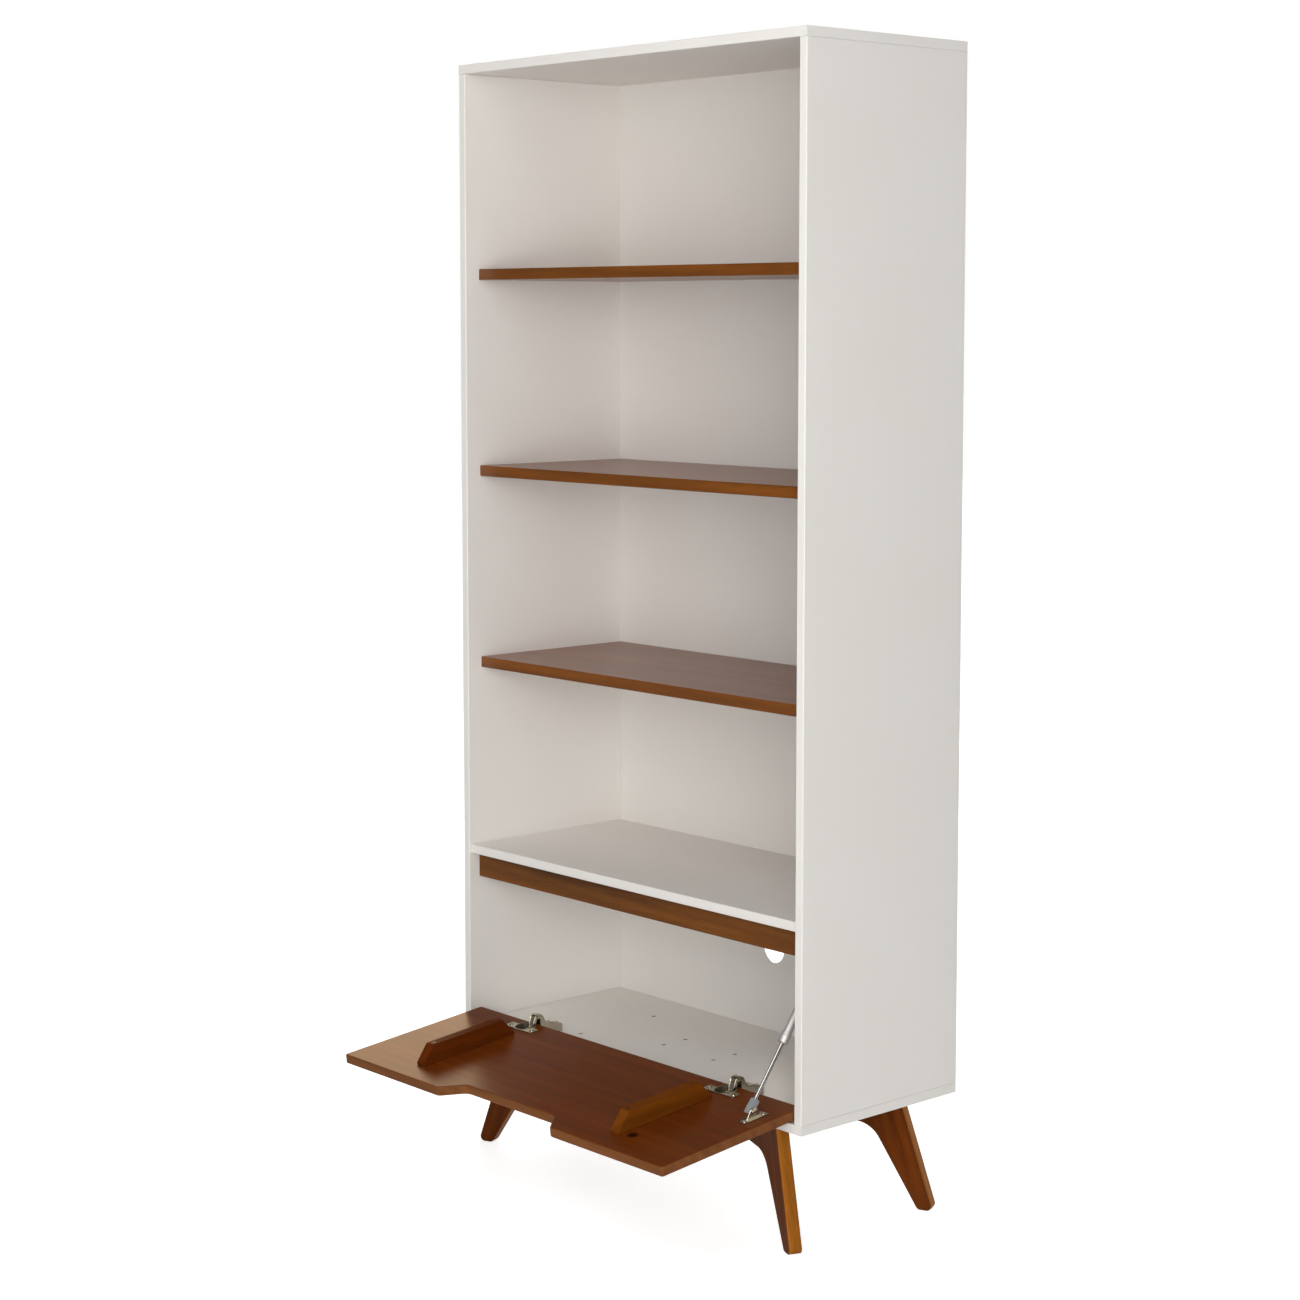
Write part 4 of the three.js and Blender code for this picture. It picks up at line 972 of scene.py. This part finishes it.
# Strut foot
# A nickel-plated steel bracket on the flap's inner face: a strip with turned-up edges and a
# pan-head screw at each end, and a rounded lug that the foot's pin goes through.
FOOT_SEAT = 8.3
FOOT_PLATE = 1.5
FOOT_TURNED = 1.0
FOOT_END = 0.6
FOOT_END_SHARE = 0.94
FOOT_STRIP_SHARES = [(-1, 0), (-1, 1), (-0.93, 1), (-0.85, 0.1)]
FOOT_STRIP_SHARES += [(0.85, 0.1), (0.93, 1), (1, 1), (1, 0)]
FOOT_SCREW = 19.5
FOOT_SCREW_LIFT = 0.1
LUG = dict(thick=2.0, foot=30.0, top=5.0, sunk=0.6, foot_round=0.4)
LUG_ROUND_SHARE = 0.97
PIN = dict(radius=3.0, end_radius=2.6, ease=0.4, past_lug=2.3)
PIN_HEAD = dict(radius=4.5, face_radius=4.4, top_radius=3.4, top=0.5)
foot_low, foot_high = off_flap("strut_foot_bracket")
pin_low, pin_high = off_flap("strut_foot_pin")
foot_middle = (foot_low + foot_high) / 2
pin_middle = (pin_low + pin_high) / 2
lug_low = foot_middle[0] - LUG["thick"] / 2
length = [foot_low[2], foot_low[2] + FOOT_END, foot_high[2] - FOOT_END, foot_high[2]]
length = np.array(length)[:, None]
width = (foot_high[0] - foot_low[0]) / 2 * np.array([FOOT_END_SHARE, 1, 1, FOOT_END_SHARE])
face = FOOT_SEAT + FOOT_PLATE
strip = np.array(FOOT_STRIP_SHARES)
strip_x = foot_middle[0] + width[:, None] * strip[:, 0]
strip_y = np.where(strip[:, 1] > 0, face + strip[:, 1] * FOOT_TURNED, FOOT_SEAT) + 0 * strip_x
strip_rows = np.stack([strip_x, strip_y, length + 0 * strip_x], axis=-1)
lug_foot, lug_top = LUG["foot"] / 2, pin_middle[1] + LUG["top"]
lug_round = LUG["top"] * LUG_ROUND_SHARE
lug_outline = [
    (face - LUG["sunk"], -lug_foot),
    (face + LUG["sunk"], -lug_foot, LUG["foot_round"]),
    (lug_top, -LUG["top"], lug_round),
    (lug_top, LUG["top"], lug_round),
    (face + LUG["sunk"], lug_foot, LUG["foot_round"]),
    (face - LUG["sunk"], lug_foot),
]
lug_rows = slab(rounded(lug_outline, 10), 0, LUG["thick"])[..., THICK_IN_X]
shells = [shell(on_flap(strip_rows)), shell(on_flap(lug_rows + [lug_low, 0, foot_middle[2]]))]
for hand in (-1, 1):
    spot = [foot_middle[0], face + FOOT_SCREW_LIFT, foot_middle[2] + hand * FOOT_SCREW]
    shells.append(shell(on_flap(pan[..., ALONG_Y] + spot)))
fit("strut_foot_bracket_body", shells, nickel, "flap", "strut_foot_bracket")

start, end, shoulder = pin_low[0], pin_high[0], lug_low + PIN["past_lug"]
pin_profile = [(start, POLE), (start, PIN["end_radius"]), (start + PIN["ease"], PIN["radius"])]
pin_profile += [(shoulder, PIN["radius"]), (shoulder, PIN_HEAD["radius"])]
pin_profile += [(end - PIN_HEAD["top"], PIN_HEAD["face_radius"]), (end, PIN_HEAD["top_radius"])]
pin_profile += [(end, POLE)]
pin_rows = turned(pin_profile) + [0, pin_middle[1], pin_middle[2]]
fit("strut_foot_pin_body", [shell(on_flap(pin_rows))], nickel, "flap", "strut_foot_pin")

# Gas strut
# A bright 6 mm rod in a grey plastic socket on the foot's pin, and a silver tube and crimped
# collar with a plastic eye, which slide on the rod. The gland and piston inside are black.
SOCKET = dict(half=4.9, low=-6.4, high=17.9, foot=6.3, top=5.0, ease=0.5)
SOCKET_ROUND = (1.0, 1.5)  # at its lower and upper end
SOCKET_GROOVE = (-4.6, -3.9)
GROOVE_DEPTH = (0.8, 0.9)  # on its edges and on its faces
GROOVE_LAP = 1.0
ROD_RADIUS = 3.0
ROD_EASE = 0.3
ROD_HOLE = 3.3
TUBE_RADIUS = 6.5
TUBE_BORE = 5.4
TUBE_EASE = 0.8
TUBE_CRIMP = (2.5, 1.6, 0.35)  # from and to below the upper end, and depth
COLLAR_RADIUS = 7.5
COLLAR_BORE = 6.8
COLLAR_EASE = (0.3, 0.8)
COLLAR_GROOVE = (5.0, 4.4, 3.6, 3.0)  # how far its edges lie from the collar's upper end
COLLAR_GROOVE_DEPTH = 0.5
COLLAR_RIM = 0.4
END_WALL = 1.2
EYE_RADIUS = 8.0
EYE_EASE = 0.8
EYE_AT = 245.0
STALK_RADIUS = 5.0
STALK_GAP = 0.3
STALK_NECK = (6.0, 1.0, 1.5)  # start before the eye, and depth there and at the eye
ROUND_STEPS = 64
MOULD_GRAIN_MM = 0.5
MOULD_GRAIN_HEIGHT_MM = 0.03
MOULD_GRAIN_STRENGTH = 0.2
PLASTIC_IOR = 1.5
strut_foot = np.array(joints["strut_foot_pivot"]["pos_m"])
strut_along = np.array(joints["strut_stroke"]["axis"])
strut_aside = np.array([0, -strut_along[2], strut_along[1]])


def on_strut(points):
    """From the strut's own frame in mm, x across it, y from its foot to its head and z at right
    angles to both, to where it is with the flap open."""
    points = np.asarray(points, dtype=float) * MM
    x = points[..., :1] * np.array([1.0, 0, 0])
    return strut_foot + x + points[..., 1:2] * strut_along + points[..., 2:3] * strut_aside


def along_strut(name):
    """The lowest and highest distance of a CAD node from the strut's foot, in mm."""
    distance = (node_points(name) - strut_foot) @ strut_along / MM
    return distance.min(), distance.max()


def strut_turned(name, profile, material, body, joined=False):
    """A round metal piece of the strut: a profile of (distance from the foot, radius) turned about
    its axis, and joined to itself where the piece is hollow."""
    rows = turned(profile, ROUND_STEPS)[..., ALONG_Y]
    shells = [shell(on_strut(rows), joined)]
    fit(f"{name}_body", shells, material, body, name)


def moulded(name, colour, roughness):
    """Moulded plastic with the fine grain of its mould, drawn coarse enough to show, which gives a
    soft and even shine."""
    finish = {"Base Color": linear(colour), "Roughness": roughness, "IOR": PLASTIC_IOR}
    material, tree, surface = shader(name, finish)
    grain = noise(tree, MOULD_GRAIN_MM, 1.0)
    roughen(tree, surface, grain, MOULD_GRAIN_HEIGHT_MM, MOULD_GRAIN_STRENGTH)
    return material


# Polished steel mirrors its surroundings, and the lacquered tube is a duller silver.
chrome = plated(
    "polished_rod", colour="C9C6C3", roughness=0.14, speck_mm=9.0, speck_height_mm=0.001
)
silver = plated("silver_lacquer", colour="DDD9D7", roughness=0.6)
grey = moulded("grey_plastic", colour="8E9093", roughness=0.5)
black = moulded("black_plastic", colour="1C1C1D", roughness=0.4)

# The socket is two blocks on a thinner core, which shows between them as a groove.
groove_low, groove_high = SOCKET_GROOVE
foot_half, top_half = SOCKET["foot"], SOCKET["top"]
lower = [
    (SOCKET["low"], -foot_half, SOCKET_ROUND[0]),
    (groove_low, -foot_half),
    (groove_low, foot_half),
    (SOCKET["low"], foot_half, SOCKET_ROUND[0]),
]
upper = [
    (groove_high, -foot_half),
    (SOCKET["high"], -top_half, SOCKET_ROUND[1]),
    (SOCKET["high"], top_half, SOCKET_ROUND[1]),
    (groove_high, foot_half),
]
core_half = foot_half - GROOVE_DEPTH[0]
core = rounded_box((groove_low - GROOVE_LAP, -core_half), (groove_high + GROOVE_LAP, core_half))
shells = []
for outline, half in (
    (rounded(lower), SOCKET["half"]),
    (rounded(upper), SOCKET["half"]),
    (core, SOCKET["half"] - GROOVE_DEPTH[1]),
):
    rows = slab(outline, -half, half, SOCKET["ease"])[..., THICK_IN_X]
    shells.append(shell(on_strut(rows)))
fit("strut_rod_socket_body", shells, grey, "rod", "strut_rod_socket")

rod_low, rod_high = along_strut("strut_rod")
strut_turned("strut_rod", eased_pin(rod_low, rod_high, ROD_RADIUS, ROD_EASE), chrome, "rod")

# The tube is narrowed a little at its upper end, and turned in at its lower end around the rod.
tube_low, tube_high = along_strut("strut_tube")
crimp_from, crimp_to, crimp_depth = TUBE_CRIMP
tube = [(tube_low, ROD_HOLE), (tube_low, TUBE_RADIUS - TUBE_EASE)]
tube += [(tube_low + TUBE_EASE, TUBE_RADIUS), (tube_high - crimp_from, TUBE_RADIUS)]
tube += [(tube_high - crimp_to, TUBE_RADIUS - crimp_depth), (tube_high, TUBE_RADIUS - crimp_depth)]
tube += [(tube_high, TUBE_BORE), (tube_low + END_WALL, TUBE_BORE), (tube_low + END_WALL, ROD_HOLE)]
strut_turned("strut_tube", tube, silver, "tube", joined=True)

collar_low, collar_high = along_strut("strut_collar")
slope, rim = COLLAR_EASE
lowered = COLLAR_RADIUS - COLLAR_GROOVE_DEPTH
collar = [(collar_low, ROD_HOLE), (collar_low, COLLAR_RADIUS - rim)]
collar += [(collar_low + slope, COLLAR_RADIUS - slope), (collar_low + rim, COLLAR_RADIUS)]
groove_radii = (COLLAR_RADIUS, lowered, lowered, COLLAR_RADIUS)
collar += [(collar_high - at, radius) for at, radius in zip(COLLAR_GROOVE, groove_radii)]
collar += [(collar_high - COLLAR_RIM, COLLAR_RADIUS), (collar_high, COLLAR_RADIUS - COLLAR_RIM)]
collar += [(collar_high, COLLAR_BORE), (collar_low + END_WALL, COLLAR_BORE)]
collar += [(collar_low + END_WALL, ROD_HOLE)]
strut_turned("strut_collar", collar, silver, "tube", joined=True)
finish_nodes(black, "strut_piston", "strut_gland")

# The eye is a round boss across the strut, on a stalk that is plugged into the tube.
stalk_low = along_strut("strut_tube_eye")[0]
shoulder = tube_high + STALK_GAP
neck_from, neck_depth, neck_end_depth = STALK_NECK
stalk = [(stalk_low, POLE), (stalk_low, STALK_RADIUS), (shoulder, STALK_RADIUS)]
stalk += [(shoulder, TUBE_RADIUS), (EYE_AT - neck_from, TUBE_RADIUS - neck_depth)]
stalk += [(EYE_AT, TUBE_RADIUS - neck_end_depth), (EYE_AT, POLE)]
boss = eased_pin(-EYE_RADIUS, EYE_RADIUS, EYE_RADIUS, EYE_EASE)
shells = [
    shell(on_strut(turned(stalk, ROUND_STEPS)[..., ALONG_Y])),
    shell(on_strut(turned(boss, ROUND_STEPS) + [0, EYE_AT, 0])),
]
fit("strut_tube_eye_body", shells, grey, "tube", "strut_tube_eye")

# Strut head bracket
# A nickel-plated plate on the right side panel, held by two pan-head screws, with a stud that
# carries the strut's head.
HEAD_PLATE = 2.0
HEAD_PLATE_ROUND = 4.0
HEAD_SCREW = 17.0
STUD_RADIUS = 5.0
STUD_EASE = 0.6
STUD_COLLAR = dict(height=3.0, radius=8.0, ease=0.6, sunk=0.5)
low, high = (np.array(corner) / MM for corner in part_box("strut_side_bracket"))
middle = (low + high) / 2
plate_face = high[0] - HEAD_PLATE
outline = rounded_box(low[1:], high[1:], HEAD_PLATE_ROUND)
shells = [shell(slab(outline, plate_face, high[0])[..., THICK_IN_X] * MM)]
start, collar_at = low[0], plate_face - STUD_COLLAR["height"]
ease, radius, sunk = STUD_COLLAR["ease"], STUD_COLLAR["radius"], plate_face + STUD_COLLAR["sunk"]
stud = [(start, POLE), (start, STUD_RADIUS - STUD_EASE), (start + STUD_EASE, STUD_RADIUS)]
stud += [(collar_at, STUD_RADIUS), (collar_at, radius - ease), (collar_at + ease, radius)]
stud += [(sunk, radius), (sunk, POLE)]
shells.append(shell((turned(stud, 48) + [0, middle[1], middle[2]]) * MM))
for hand in (-1, 1):
    spot = [plate_face, middle[1], middle[2] + hand * HEAD_SCREW]
    shells.append(shell((pan * [-1, 1, 1] + spot) * MM))
fit("strut_side_bracket_body", shells, nickel, "case", "strut_side_bracket")

low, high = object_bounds()
